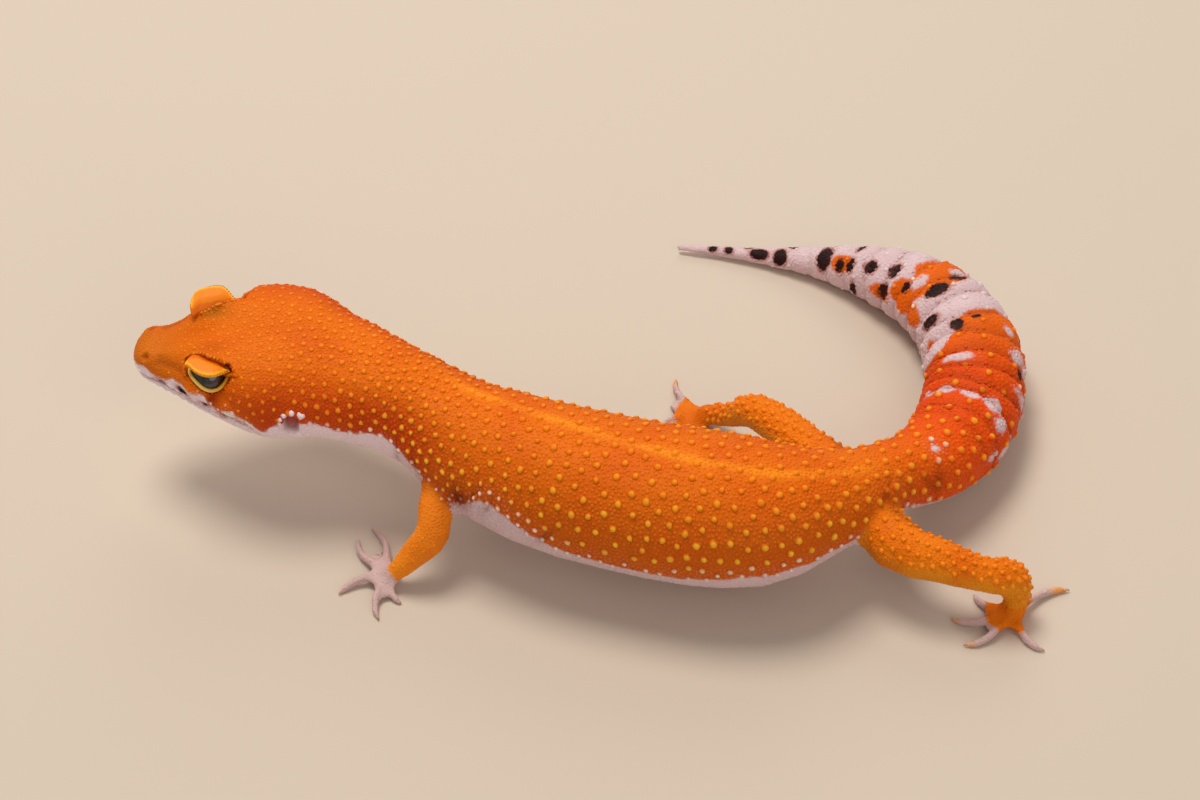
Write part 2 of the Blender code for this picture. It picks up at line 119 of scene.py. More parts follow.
LIMBS = {
    # middle of the limb and its radius, from the trunk to the palm or sole
    "front_left": ((-21.6, -25.0, 15.4, 2.7), (-24.2, -31.4, 12.2, 2.5), (-24.6, -36.2, 8.7, 2.75),
                   (-27.4, -37.9, 5.8, 2.25), (-30.2, -38.8, 2.9, 1.6), (-31.4, -38.2, 1.5, 1.4)),
    "front_right": ((-18.5, -19.0, 15.0, 2.6), (-15.0, -14.8, 13.0, 2.3), (-11.6, -11.8, 10.2, 2.5),
                    (-11.2, -9.8, 6.4, 2.1), (-11.9, -7.8, 3.1, 1.6), (-12.5, -6.6, 1.5, 1.4)),
    "hind_left": ((38.0, -32.0, 11.6, 4.4), (43.5, -40.2, 10.1, 4.1), (49.2, -43.2, 10.2, 3.4),
                  (55.4, -44.9, 9.1, 2.8), (60.0, -44.4, 7.4, 2.9), (61.0, -45.2, 3.3, 1.9),
                  (60.6, -45.8, 1.6, 1.6)),
    "hind_right": ((37.0, -29.0, 11.8, 4.3), (32.6, -23.4, 11.0, 3.9), (28.4, -17.2, 10.4, 3.3),
                   (23.8, -11.9, 9.4, 2.9), (20.4, -8.9, 5.6, 2.0), (17.2, -6.0, 2.7, 1.8),
                   (16.2, -5.2, 1.5, 1.6)),
}
# Middle of the palm or sole, then the bearing, length and curl of each toe.
TOES = {
    "front_left": ((-31.7, -38.0, 0.95),
                   ((94, 10.2, 12), (136, 8.9, -14), (193, 7.5, 10), (251, 7.9, 12), (282, 5.2, 12))),
    "front_right": ((-12.9, -6.2, 0.95),
                    ((34, 6.2, 12), (74, 7.6, 10), (112, 8.4, -10), (150, 7.8, -12), (190, 6.4, -14))),
    "hind_left": ((60.4, -45.8, 1.05),
                  ((152, 6.6, -14), (195, 8.6, -14), (230, 8.8, -14), (290, 7.4, 14), (41, 10.6, -10))),
    "hind_right": ((15.6, -4.8, 1.05),
                   ((123, 9.6, -12), (154, 5.2, -8), (187, 6.8, 10), (226, 6.6, 12), (264, 5.8, 12))),
}
TOE_RADII = (0.95, 0.82, 0.8, 0.72, 0.6, 0.3)
TOE_HEIGHTS = (1.2, 1.4, 0.95, 0.62, 0.52, 0.34)
TOE_PLACES = (0.0, 0.3, 0.58, 0.8, 0.9, 1.0)
TOE_ROOT = 0.8  # from the middle of the palm or sole
PALM_LENGTH = 1.5  # from the wrist or ankle to its middle

head_turn = Matrix.Rotation(-HEAD_YAW, 3, "Z") @ Matrix.Rotation(HEAD_PITCH, 3, "Y")
BACK = head_turn @ Vector((1, 0, 0))
head_roll = Matrix.Rotation(HEAD_ROLL, 3, BACK)
SIDE = head_roll @ head_turn @ Vector((0, -1, 0))
UP = head_roll @ head_turn @ Vector((0, 0, 1))
HEAD_FRAME = np.array((BACK, SIDE, UP))
SNOUT_AT = np.array(SNOUT - CENTRE)


def in_head(behind, aside, height):
    """A point given in the head: behind the snout, out to the left side, up."""
    return SNOUT_AT + np.array((behind, aside, height)) @ HEAD_FRAME


def catmull(rows, places):
    """Rows of numbers at places counted in rows, on a smooth curve through all of them."""
    rows = np.asarray(rows, float)
    i = np.clip(places.astype(int), 0, len(rows) - 2)
    f = (places - i)[:, None]
    a, b, c, d = (rows[np.clip(i + shift, 0, len(rows) - 1)] for shift in (-1, 0, 1, 2))
    return b + 0.5 * f * (c - a + f * (2 * a - 5 * b + 4 * c - d + f * (3 * (b - c) + d - a)))


def unit(vectors):
    return vectors / np.maximum(np.linalg.norm(vectors, axis=-1, keepdims=True), 1e-12)


def along_of(points):
    """How far along a line of points each of them lies."""
    return np.concatenate([[0], np.cumsum(np.linalg.norm(np.diff(points, axis=0), axis=1))])


SPINE_STEPS, LIMB_STEPS, TOE_STEPS = 560, 50, 24
shift_to_origin = np.array(CENTRE)
body_rows = [(*in_head(behind, 0, 0), half, rise, HEAD_ROLL) for behind, half, rise in HEAD_STATIONS]
for i, row in enumerate(BODY_STATIONS):
    fading_roll = HEAD_ROLL * max(0.0, 0.8 - i / 4)
    body_rows.append((*(np.array(row[:3]) - shift_to_origin), *row[3:], fading_roll))
spine_rows = catmull(body_rows, np.linspace(0, len(body_rows) - 1, SPINE_STEPS))
SPINE = spine_rows[:, :3]
SPINE_HALVES = spine_rows[:, 3:5]
SPINE_ALONG = along_of(SPINE)
SPINE_AHEAD = unit(np.gradient(SPINE, axis=0))
SPINE_LEFT = unit(np.cross(SPINE_AHEAD, (0, 0, 1.0)))
SPINE_UP = np.cross(SPINE_LEFT, SPINE_AHEAD)
lean = spine_rows[:, 5:6]
SPINE_LEFT, SPINE_UP = (
    SPINE_LEFT * np.cos(lean) - SPINE_UP * np.sin(lean),
    SPINE_UP * np.cos(lean) + SPINE_LEFT * np.sin(lean),
)


def toe_line(palm, bearing, length, curl):
    """Points and radii down the middle of one toe, from the palm to the tip of its claw."""
    rows = []
    for place, height, radius in zip(TOE_PLACES, TOE_HEIGHTS, TOE_RADII):
        angle = math.radians(bearing + curl * (place - 0.5) * 2 * place)
        reach = TOE_ROOT + (length - TOE_ROOT) * place
        flat = np.array((math.cos(angle), math.sin(angle), 0.0)) * reach
        middle = np.array((*palm[:2], 0.0)) - shift_to_origin + flat
        rows.append((middle[0], middle[1], height, radius))
    return np.array(rows)


leg_lines = []


def add_leg_line(line, past_wrist, number, is_toe):
    """Keeps a line down a limb or toe with all that is asked of it later."""
    ahead = unit(np.gradient(line[:, :3], axis=0))
    leg_lines.append((line[:, :3], line[:, 3], past_wrist, ahead,
                      np.full(len(line), number), np.full(len(line), is_toe)))


for number, (name, rows) in enumerate(LIMBS.items()):
    rows = np.array(rows) - np.array((*shift_to_origin, 0.0))
    counted = np.linspace(0, len(rows) - 1, LIMB_STEPS)
    line = catmull(rows, counted)
    reach = along_of(line[:, :3])
    wrist = np.interp(len(rows) - 2.0, counted, reach)
    add_leg_line(line, reach - wrist, number, False)
    palm, toes = TOES[name]
    for toe in toes:
        line = catmull(toe_line(palm, *toe), np.linspace(0, len(TOE_PLACES) - 1, TOE_STEPS))
        add_leg_line(line, along_of(line[:, :3]) + PALM_LENGTH, number, True)
LEG, LEG_RADII, LEG_PAST_WRIST, LEG_AHEAD, LEG_NUMBER, LEG_IS_TOE = map(np.concatenate, zip(*leg_lines))
LEG_IS_HIND = LEG_NUMBER >= 2  # the front pair comes first in the list of limbs


def nearest(points, line, radii):
    """For each point, the nearest place on a line in shares of the radius there, and that share."""
    found = np.empty(len(points), int)
    share = np.empty(len(points))
    batch = 20000
    for start in range(0, len(points), batch):
        some = points[start:start + batch]
        apart = (some ** 2).sum(1)[:, None] - 2 * some @ line.T + (line ** 2).sum(1)
        apart = np.sqrt(np.maximum(apart, 0)) / radii
        found[start:start + batch] = apart.argmin(1)
        share[start:start + batch] = apart.min(1)
    return found, share


def smooth_step(low, high, value):
    x = np.clip((value - low) / (high - low), 0, 1)
    return x * x * (3 - 2 * x)


def between(value, rise_from, rise_to, fall_from, fall_to):
    """1 between two soft edges and 0 outside them."""
    return smooth_step(rise_from, rise_to, value) * smooth_step(fall_to, fall_from, value)


def place_on_body(points):
    """Where points lie: along the spine, turn round it from the back (0) to the belly (1 or -1,
    plus on the left), share of the way to the legs, and how far past the wrist or ankle."""
    i, body_share = nearest(points, SPINE, SPINE_HALVES.mean(1))
    off = points - SPINE[i]
    ahead = (off * SPINE_AHEAD[i]).sum(1)
    left = (off * SPINE_LEFT[i]).sum(1) / SPINE_HALVES[i, 0]
    up = (off * SPINE_UP[i]).sum(1) / SPINE_HALVES[i, 1]
    j, leg_share = nearest(points, LEG, LEG_RADII)
    return {
        "along": SPINE_ALONG[i] + np.clip(ahead, -0.4, 0.4),
        "turn": np.arctan2(left, up) / math.pi,
        "radius": SPINE_HALVES[i].mean(1),
        "ahead": SPINE_AHEAD[i],
        "leg": smooth_step(-0.18, 0.18, body_share - leg_share),
        "past_wrist": LEG_PAST_WRIST[j],
        "hind": LEG_IS_HIND[j],
        "leg_index": j,
    }


# Skin. One unbroken hide over the head, trunk, limbs and tail: soft, dry and slightly loose. It is
# drawn over the solid flesh, fused where the pieces meet, eased, and set in by the scales' depth.
FLESH = ["head", "lower_jaw", "neck", "trunk"] + ["tail_%d" % i for i in range(1, 7)]
FLESH += [limb + part for limb in LIMBS for part in ("_upper", "_lower", "_foot")]
FUSE = 0.42  # how far each piece swells before they are fused
FUSE_LEFT = 0.93  # share of that swelling left once the skin is eased
VOXEL = 0.6
EASING_ROUNDS = 40
HEAD_ENDS = 44  # along the body
SCALE_DEPTH = 0.30  # from the tips of the tubercles down to the skin
EYE = np.array((12.5, 5.6, 3.2))  # behind the snout, to the side, up in the head
EYE_RADIUS = 2.98
EYE_FILL = 3.55  # the ball that closes the socket while the skin is drawn over it


def new_piece(name, data):
    made = bpy.data.objects.new(name, data)
    bpy.context.scene.collection.objects.link(made)
    return made


def applied(made):
    """The object with its modifiers applied to its mesh."""
    bpy.context.view_layer.update()
    data = bpy.data.meshes.new_from_object(made.evaluated_get(bpy.context.evaluated_depsgraph_get()))
    made.modifiers.clear()
    made.data = data
    return made


def read(items, field, width, kind=np.float32):
    """One field of all of a mesh's corners, edges or triangles, as rows."""
    flat = np.empty(len(items) * width, kind)
    items.foreach_get(field, flat)
    return flat.reshape(-1, width)


def corners_of(data):
    """Every corner of a mesh, in millimetres."""
    return read(data.vertices, "co", 3).astype(float) / MM


def put_corners(data, corners):
    data.vertices.foreach_set("co", (corners * MM).astype(np.float32).ravel())
    data.update()


def edges_of(data):
    return read(data.edges, "vertices", 2, np.int32)


def normals_of(data):
    return read(data.vertex_normals, "vector", 3).astype(float)


def eased(corners, edges, amount, rounds, back=-0.53):
    """Corners smoothed without shrinking, each by its own amount."""
    count = np.bincount(edges.ravel(), minlength=len(corners)).clip(1)[:, None]
    for step in (0.5, back) * rounds:
        total = np.empty_like(corners)
        for axis in range(3):
            value = corners[:, axis]
            total[:, axis] = np.bincount(edges[:, 0], value[edges[:, 1]], minlength=len(corners))
            total[:, axis] += np.bincount(edges[:, 1], value[edges[:, 0]], minlength=len(corners))
        corners = corners + (total / count - corners) * step * amount[:, None]
    return corners


def to_head(points):
    """Points as behind the snout, out to the left side, up."""
    return (points - SNOUT_AT) @ HEAD_FRAME.T


def face_places(points):
    """Head coordinates with both sides folded onto the left, and the same from the eye's middle."""
    folded = to_head(points)
    folded[:, 1] = np.abs(folded[:, 1])
    from_eye = folded - EYE
    return folded, from_eye, np.linalg.norm(from_eye, axis=1)


def joined_flesh():
    """All flesh solids in one mesh, slightly swollen, with a ball in each empty eye socket."""
    mesh = bmesh.new()
    for name in FLESH:
        mesh.from_mesh(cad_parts[name].data)
    bmesh.ops.remove_doubles(mesh, verts=mesh.verts, dist=1e-6)
    mesh.normal_update()
    for vertex in mesh.verts:
        vertex.co += vertex.normal * FUSE * MM
    for sign in (1, -1):
        middle = in_head(EYE[0], sign * EYE[1], EYE[2]) * MM
        bmesh.ops.create_icosphere(mesh, subdivisions=4, radius=(EYE_FILL + FUSE) * MM,
                                   matrix=Matrix.Translation(middle))
    data = bpy.data.meshes.new("skin")
    mesh.to_mesh(data)
    mesh.free()
    return data


skin = new_piece("skin", joined_flesh())
fuse = skin.modifiers.new("fuse", "REMESH")
fuse.mode = "VOXEL"
fuse.voxel_size = VOXEL * MM
applied(skin)
corners = corners_of(skin.data)
place = place_on_body(corners)
_, _, eye_reach = face_places(corners)
on_head = smooth_step(HEAD_ENDS, 36, place["along"]) * (1 - place["leg"])
ease = np.where(place["leg"] > 0.5, 0.55, 1.0) * (1 - 0.5 * on_head)
ease = ease * np.where(place["past_wrist"] > 0.5, 1 - 0.75 * place["leg"], 1.0)
corners = eased(corners, edges_of(skin.data), ease, EASING_ROUNDS)
put_corners(skin.data, corners)
depth = SCALE_DEPTH * (1 - 0.6 * on_head) * (1 - 0.5 * place["leg"])
depth = depth * np.where(place["past_wrist"] > 0.0, 1 - 0.8 * place["leg"], 1.0)
depth = depth * smooth_step(3.5, 7.0, eye_reach)
depth = depth * np.interp(place["along"], (150, 200), (1.0, 0.3))
corners = corners - normals_of(skin.data) * (FUSE * FUSE_LEFT + depth)[:, None]
put_corners(skin.data, corners)

# The head and the feet get a mesh twice as fine as the rest, for their folds and small toes.
mesh = bmesh.new()
mesh.from_mesh(skin.data)
fine = (on_head > 0.6) | ((place["leg"] > 0.5) & (place["past_wrist"] > 0.6))
mesh.verts.ensure_lookup_table()
fine_edges = [edge for edge in mesh.edges if all(fine[vertex.index] for vertex in edge.verts)]
bmesh.ops.subdivide_edges(mesh, edges=fine_edges, cuts=1, use_grid_fill=True, smooth=0.6)
bmesh.ops.triangulate(mesh, faces=[face for face in mesh.faces if len(face.verts) > 4])
mesh.to_mesh(skin.data)
mesh.free()
corners = corners_of(skin.data)
edges = edges_of(skin.data)
corners = eased(corners, edges, np.full(len(corners), 0.6), 3)
put_corners(skin.data, corners)

# Face and folds. The skin sinks along the mouth, into the nostrils and under the brow, pulls in where
# the eyes show, and creases at the neck, behind the arms, at the hips and round the tail.
MOUTH_LINE = ((-2.0, -0.4), (2.0, -0.4), (7.0, -0.5), (12.0, -0.5), (15.5, 0.1), (18.5, -0.5),
              (20.0, -1.9), (20.8, -3.4))  # behind the snout, up
NOSTRIL = (2.3, 2.7, 2.8)  # behind the snout, to the side, up
EAR = (25.2, 0.4)  # behind the snout, up
EAR_REACH = (1.15, 1.95)  # half its length and half its height
CHEEK = 7  # the side of the head lies further to the side than this
EYE_BED = 3.12  # from the eye's middle to the skin that lies against it
SOCKET = 7.5  # and to the last of the skin round it
RIM_OVERLAP = 0.12  # how far below the lower rim the eye still shows through the skin
LID_FRONT, LID_REAR = 9.1, 15.9  # ends of the upper lid, behind the snout
LID_CREASE = ((9.1, 6.4), (9.35, 5.7), (9.9, 5.2), (10.9, 5.15), (12.1, 5.55), (13.3, 6.0), (14.5, 6.45),
              (15.9, 7.4))  # behind the snout, how far out to the side the lid leaves the brow
LID_RIM = ((9.1, 6.5), (9.9, 7.05), (11.1, 7.98), (12.3, 8.44), (13.5, 8.44), (14.6, 8.08),
           (15.9, 7.5))  # behind the snout, how far out its rim lies
BROW_GROOVE = ((6.0, 5.0), (8.9, 5.1), (9.6, 4.7), (10.3, 4.45), (11.1, 4.7), (12.15, 5.3), (13.25, 5.8),
               (14.4, 6.2), (15.3, 6.9), (17.0, 8.2))  # behind the snout, out to the side
LOWER_RIM = ((-112, 1.7), (-85, 1.36), (-55, 1.56), (-28, 1.33), (-6, 0.80), (12, 0.45), (31, 0.47),
             (48, 0.78), (65, 1.10), (82, 1.30), (104, 2.2))  # degrees round the eye, up from its middle
CANTHUS = ((3.0, 2.7), (6.0, 3.0), (9.2, 4.2), (11, 5.0))  # behind the snout, up: nostril to eye
LID_RISE = 6.66  # up in the head, at the middle of the rim
RIM_REACH = 3.24  # from the eye's middle to the lower rim
OPENING = np.array((0.16, 0.59, 0.79))  # the way the left eye's opening faces, in the head


def lid_share(behind):
    return np.clip((behind - LID_FRONT) / (LID_REAR - LID_FRONT), 0, 1)


def smooth_line(points, value):
    """Height of a smooth curve through a few points, at each value."""
    places, heights = np.array(points, float).T
    i = np.clip(np.searchsorted(places, value) - 1, 0, len(places) - 2)
    f = np.clip((value - places[i]) / (places[i + 1] - places[i]), 0, 1)
    return catmull(heights[:, None], i + f * 0.999999)[:, 0]


def lid_behind(share):
    return LID_FRONT + (LID_REAR - LID_FRONT) * share


def lid_crease(share):
    return smooth_line(LID_CREASE, lid_behind(share))


def lid_rim(share):
    return smooth_line(LID_RIM, lid_behind(share))


def lower_rim(degrees):
    """The lower lid's line from the eye's middle; its ends rise out to meet the upper lid."""
    up = smooth_line(LOWER_RIM, degrees)
    flat, around = np.sqrt(RIM_REACH ** 2 - up ** 2), np.radians(degrees)
    rise = 0.9 * smooth_step(20, 90, degrees) + 0.2 * smooth_step(-50, -95, degrees)
    return np.stack([flat * np.sin(around), flat * np.cos(around), up], 1) + OPENING * rise[:, None]


def inside_outline(points, outline):
    """How far flat points lie inside a closed outline; negative outside."""
    start, along = outline, np.roll(outline, -1, 0) - outline
    off = points[:, None] - start
    share = np.clip((off * along).sum(2) / (along ** 2).sum(1), 0, 1)
    gap = np.linalg.norm(off - share[..., None] * along, axis=2).min(1)
    crossed = (off[..., 1] < 0) != (off[..., 1] < along[:, 1])
    beside = off[..., 0] < off[..., 1] * along[:, 0] / np.where(along[:, 1] == 0, 1e-9, along[:, 1])
    return np.where((crossed & beside).sum(1) % 2 == 1, gap, -gap)


def straight_line(points, value):
    return np.interp(value, *np.array(points, float).T)


def bell(value, middle, reach):
    return np.exp(-((value - middle) / reach) ** 2)


def ear_share_of(behind, height):
    """How far from the middle of the ear opening, in shares of its half size."""
    return np.hypot((behind - EAR[0]) / EAR_REACH[0], (height - EAR[1]) / EAR_REACH[1])


place = place_on_body(corners)
folded, from_eye, eye_reach = face_places(corners)
behind, aside, height = folded.T
round_eye = np.degrees(np.arctan2(from_eye[:, 0], from_eye[:, 1]))
past_crease = aside - lid_crease(lid_share(behind))
on_face = (place["along"] < HEAD_ENDS) & (place["leg"] < 0.5)
past_groove = aside - smooth_line(BROW_GROOVE, behind)
on_brow = smooth_step(0.9, 2.2, from_eye[:, 2]) * between(behind, 7.6, 8.8, 15.9, 16.8) * on_face
canthus = bell(height - smooth_line(CANTHUS, behind), 0, 0.42)
canthus = canthus * between(behind, 3.4, 4.6, 8.4, 9.4) * on_face * (aside > 2.4)
above_mouth = height - smooth_line(MOUTH_LINE, behind)
mouth_fade = smooth_step(20.9, 19.6, behind) * on_face
push = -0.36 * bell(above_mouth, 0, 0.30) * mouth_fade
push += 0.16 * bell(np.abs(above_mouth), 0.85, 0.45) * mouth_fade * smooth_step(-0.5, 2.0, behind)
from_nostril = np.linalg.norm(folded - NOSTRIL, axis=1)
push += -0.62 * bell(from_nostril, 0, 0.42) * on_face
push += 0.15 * bell(from_nostril, 0.85, 0.35) * on_face
push += -0.55 * bell(past_groove, 0.15, 0.5) * on_brow - 0.22 * canthus
push += 0.22 * bell(past_groove, -0.75, 0.5) * on_brow
push += -0.25 * bell(np.linalg.norm(from_eye - (2.6, 3.2, -0.6), axis=1), 0, 1.5) * on_face
push += -1.25 * smooth_step(1.15, 0.7, ear_share_of(behind, height)) * (aside > CHEEK) * on_face
push += -0.40 * bell(behind, 12.0, 2.4) * bell(aside, 3.6, 1.0) * (height > 4) * on_face
put_corners(skin.data, corners)
out = normals_of(skin.data)
corners = corners + out * push[:, None]
rim_gap = from_eye[:, 2] - smooth_line(LOWER_RIM, round_eye)
near_socket = on_face & (eye_reach < SOCKET) & (from_eye[:, 1] > -1.4)
showing = near_socket & (past_groove > 0.1) & (rim_gap > -RIM_OVERLAP)
beyond = smooth_step(3.1, 4.4, -from_eye[:, 0]) + smooth_step(3.3, 5.4, from_eye[:, 0])
held = EYE_BED - 0.52 * smooth_step(0.0, 0.4, past_crease) * smooth_step(0.1, 0.5, past_groove)
held = held / np.maximum(eye_reach, 1e-6)
shrink = np.where(showing & (held < 1), held * (1 - beyond) + beyond, 1.0)
below_rim = near_socket & (rim_gap <= -RIM_OVERLAP) & (np.abs(round_eye) < 120) & (eye_reach > 3.3)
drawn_in = smooth_step(-2.0, -0.3, rim_gap) * smooth_step(-2.2, -1.2, from_eye[:, 2]) * (1 - beyond)
lip_reach = 3.3 + 1.1 * smooth_step(25, 90, round_eye)
shrink = np.where(below_rim, 1 - drawn_in * (1 - lip_reach / np.maximum(eye_reach, lip_reach)), shrink)
eye_at = np.where((to_head(corners)[:, 1] > 0)[:, None], in_head(*EYE), in_head(*(EYE * (1, -1, 1))))
corners = eye_at + (corners - eye_at) * shrink[:, None]
across_opening = unit(np.cross(OPENING, (0, 0, 1.0)))
opening_flat = np.stack([across_opening, np.cross(OPENING, across_opening)], 1)
upper_line = np.array([(far, out_at, LID_RISE) for far, out_at in LID_CREASE[::-1]]) - EYE
opening_outline = np.concatenate([lower_rim(np.linspace(-100, 98, 40)), upper_line]) @ opening_flat
folded, from_eye, _ = face_places(corners)
near_opening = np.flatnonzero(on_face & (np.linalg.norm(from_eye, axis=1) < SOCKET))
inside = np.full(len(corners), -9.0)
inside[near_opening] = inside_outline(from_eye[near_opening] @ opening_flat, opening_outline)
bed = np.sqrt(np.clip(2.8 ** 2 - ((from_eye @ opening_flat) ** 2).sum(1), 0, None)) - 0.1
sink = np.minimum(bed - from_eye @ OPENING, 0) * smooth_step(-0.55, -0.25, inside)
inward = sink[:, None] * OPENING
inward[:, 1] *= np.where(to_head(corners)[:, 1] > 0, 1, -1)
corners = corners + inward @ HEAD_FRAME

FOLDS = (
    # along, turn, half length along and across, slant, depth: a crease across the body
    (47.0, 0.62, 0.55, 5.0, 0.25, 0.45),
    (51.5, 0.60, 0.50, 5.0, 0.35, 0.35),
    (60.2, 0.46, 0.45, 2.8, -0.3, 0.40),
    (62.4, 0.47, 0.45, 2.6, -0.3, 0.34),
    (70.0, 0.52, 0.60, 3.0, -0.5, 0.36),
    (112.5, 0.42, 0.60, 4.0, -0.8, 0.45),
    (124.0, 0.40, 0.55, 3.5, 0.5, 0.35),
    (134.5, 0.00, 0.60, 12.0, 0.0, 0.25),
)
TAIL_RINGS = (137.0, 141.5, 144.9, 148.5, 151.8, 156.3, 160.9, 165.6, 170.2, 174.7, 179.0, 183.2, 187.4,
              191.4, 195.4, 199.2, 203.0, 206.6)  # along
girth = place["radius"] * math.pi
on_trunk = 1 - place["leg"]


def apart_on_body(along, turn):
    """How far each corner lies from a place on the body: down its length, and round it."""
    round_it = (place["turn"] - turn + 1) % 2 - 1
    return place["along"] - along, round_it * girth


fold = np.zeros(len(corners))
for along, turn, width, reach, slant, deep in FOLDS:
    for side in (1, -1) if turn else (1,):
        down, across = apart_on_body(along, turn * side)
        line = down - slant * across * side
        fold += deep * bell(line, 0, width) * bell(across, 0, reach) * on_trunk
for number, along in enumerate(TAIL_RINGS):
    depth = np.interp(along, (137, 145, 158, 180, 205), (0.35, 0.70, 0.62, 0.40, 0.12))
    wave = 0.45 * np.sin(place["turn"] * 7 + number * 1.9)
    down = place["along"] - along - wave
    behind_ring = 0.45 * np.clip(1 - np.abs(down - 0.9) / 1.5, 0, 1) * (down > 0)
    fold += depth * (bell(down, 0, 0.42) + behind_ring) * on_trunk
corners = corners - out * fold[:, None]
limb, limb_ahead = LEG[place["leg_index"]], LEG_AHEAD[place["leg_index"]]
off_limb = corners - limb
off_limb = off_limb - limb_ahead * (off_limb * limb_ahead).sum(1)[:, None]
on_toe = LEG_IS_TOE[place["leg_index"]] * place["leg"] * smooth_step(2.6, 4.6, place["past_wrist"])
corners = corners - off_limb * (1, 1, 0) * (0.26 * on_toe)[:, None]
put_corners(skin.data, corners)
skin.data.shade_smooth()

# Markings. Orange above, browner low on the flanks with yellower studs there, and redder at the root
# of the tail; pale lips, throat, belly, hands and tail; dark spots with rusty edges on the tail. Part
# of the flanks' brown, the cheeks' red and the brow's olive is painted shade, the throat, jaw and front
# legs are lightened with painted light, and creases and hollows are darkened with painted shade. Each
# is kept on the skin as a distance in millimetres from the marking's edge, or as a share, and every
# scale takes its root's.
BELLY_EDGE = ((20, 0.44), (24, 0.44), (31, 0.47), (36, 0.51), (42, 0.46), (47, 0.50), (53, 0.57), (56, 0.60),
              (59, 0.54), (61.5, 0.45), (64.5, 0.46), (68, 0.53), (74, 0.59), (88, 0.60), (98, 0.55),
              (106, 0.56), (118, 0.61), (135, 0.64), (150, 0.66), (219, 0.70))  # along, turn
LIP_EDGE = ((-1, 0.9), (1.2, 1.6), (2.2, 2.1), (3.7, 1.3), (5.3, 1.2), (6.6, 2.0), (8.2, 2.8), (10, 3.2),
            (11.9, 3.3), (12.6, 2.1), (13.4, 1.5), (14.2, 0.2), (18.5, 0.15), (19.4, 0.6), (20.2, 1.5),
            (20.9, 2.4), (23, 2.3), (30, 2.2))  # behind the snout, above the mouth
LIP_BLOTCHES = ((4.7, 0.7, 0.75, 0.34), (8.3, 1.4, 0.95, 0.60), (12.1, 1.5, 0.85, 0.36),
                (14.9, -0.5, 0.4, 0.2), (10.4, 0.3, 0.5, 0.2))  # behind, above the mouth, reach along and up
CHEEK_PATCHES = ((15.9, 0.95, 1.25, 0.50), (18.6, 1.0, 1.35, 0.45))  # behind, above the mouth, reaches
TAIL_EDGE = ((-1.0, 156), (-0.45, 153), (-0.3, 153), (-0.2, 154.5), (-0.14, 157.5), (-0.08, 160.5),
             (0.05, 161.5), (0.3, 161.5), (0.6, 160), (1.0, 158))  # turn, along
TAIL_PATCHES = (
    # along, turn, reach along, reach round: orange left on the pale tail
    (171.8, -0.02, 3.8, 6.5), (174.8, -0.30, 2.6, 2.4), (179.2, -0.40, 2.3, 1.6),
    (188.6, -0.22, 2.4, 1.8), (157.0, -0.36, 1.5, 1.1), (168.3, -0.40, 2.6, 2.0), (172.3, -0.36, 2.4, 2.4),
)
PALE_PATCHES = (
    # pale places on the orange root of the tail and inside the patches above
    (150.3, -0.13, 0.90, 2.40), (153.3, 0.30, 1.08, 1.92), (152.2, 0.44, 1.44, 1.20),
    (141.0, -0.30, 0.84, 1.56), (141.3, -0.16, 1.20, 1.80), (140.9, 0.02, 0.96, 1.44),
    (141.0, 0.18, 1.44, 1.80), (139.3, 0.30, 1.08, 1.44), (139.9, 0.54, 1.92, 1.20),
    (147.0, 0.42, 0.60, 2.64), (157.5, 0.24, 0.84, 0.96), (127.0, 0.12, 0.60, 0.72),
    (172.4, -0.16, 0.96, 1.56), (170.6, 0.16, 1.08, 1.44), (175.2, -0.14, 0.72, 1.08),
    (136.0, 0.46, 0.84, 0.72),
)
TAIL_SPOTS = (
    (212.5, -0.10, 0.73, 0.73, 1.0), (209.8, -0.13, 0.79, 0.79, 1.0),
    (204.5, -0.18, 1.64, 1.19, 1.0), (200.8, -0.24, 1.19, 1.81, 1.0), (192.5, -0.18, 1.30, 2.60, 1.0),
    (189.0, -0.27, 0.73, 1.36, 1.0), (186.7, -0.23, 0.85, 1.41, 1.0), (182.7, -0.19, 1.30, 1.36, 1.0),
    (178.4, -0.15, 1.07, 1.53, 1.0), (178.8, -0.38, 1.02, 1.58, 1.0), (173.9, -0.25, 1.15, 1.15, 0.85),
    (168.3, -0.11, 1.30, 2.15, 1.0), (169.5, 0.10, 0.90, 1.69, 1.0), (162.7, -0.29, 1.13, 1.92, 1.0),
    (158.3, -0.12, 1.24, 1.13, 1.0), (159.5, 0.02, 0.62, 0.79, 0.6), (150.6, 0.33, 0.85, 0.90, 0.9),
    (185.4, -0.54, 0.68, 1.69, 1.0), (186.7, 0.08, 0.68, 1.24, 1.0), (166.5, 0.42, 1.2, 1.7, 1.0),
    (173.2, 0.34, 1.0, 1.3, 1.0), (178.6, 0.44, 1.3, 1.6, 1.0), (184.6, 0.33, 0.9, 1.2, 1.0),
    (191.5, 0.36, 1.1, 1.5, 1.0), (199.0, 0.30, 1.0, 1.2, 1.0), (206.5, 0.26, 0.8, 0.9, 1.0),
)  # along, turn, reach along, reach round, darkness
# Hollows darkened with painted shade, behind the arms and about the hips.
SHADED_HOLLOWS = ((58.2, 0.51, 1.5, 2.5, 1.0), (114.5, 0.42, 1.0, 3.0, 0.5),
           (125.5, 0.40, 1.2, 2.6, 0.55))  # along, turn, reach along and round, darkness of the painted shade
STRIPE = ((48, -0.09), (66, -0.06), (87, 0.01), (112, 0.07))  # along, turn
FOOT_EDGE = {"front": 0.2, "hind": 4.6}  # past the wrist or ankle, where a foot turns pale
FAR_OUTSIDE = -5.0  # the distance kept where there is none of a marking


def inside_oval(down, across, reach_down, reach_across):
    """Distance inside an oval, roughly in millimetres; negative outside."""
    share = np.hypot(down / reach_down, across / reach_across)
    return (1 - share) * min(reach_down, reach_across)


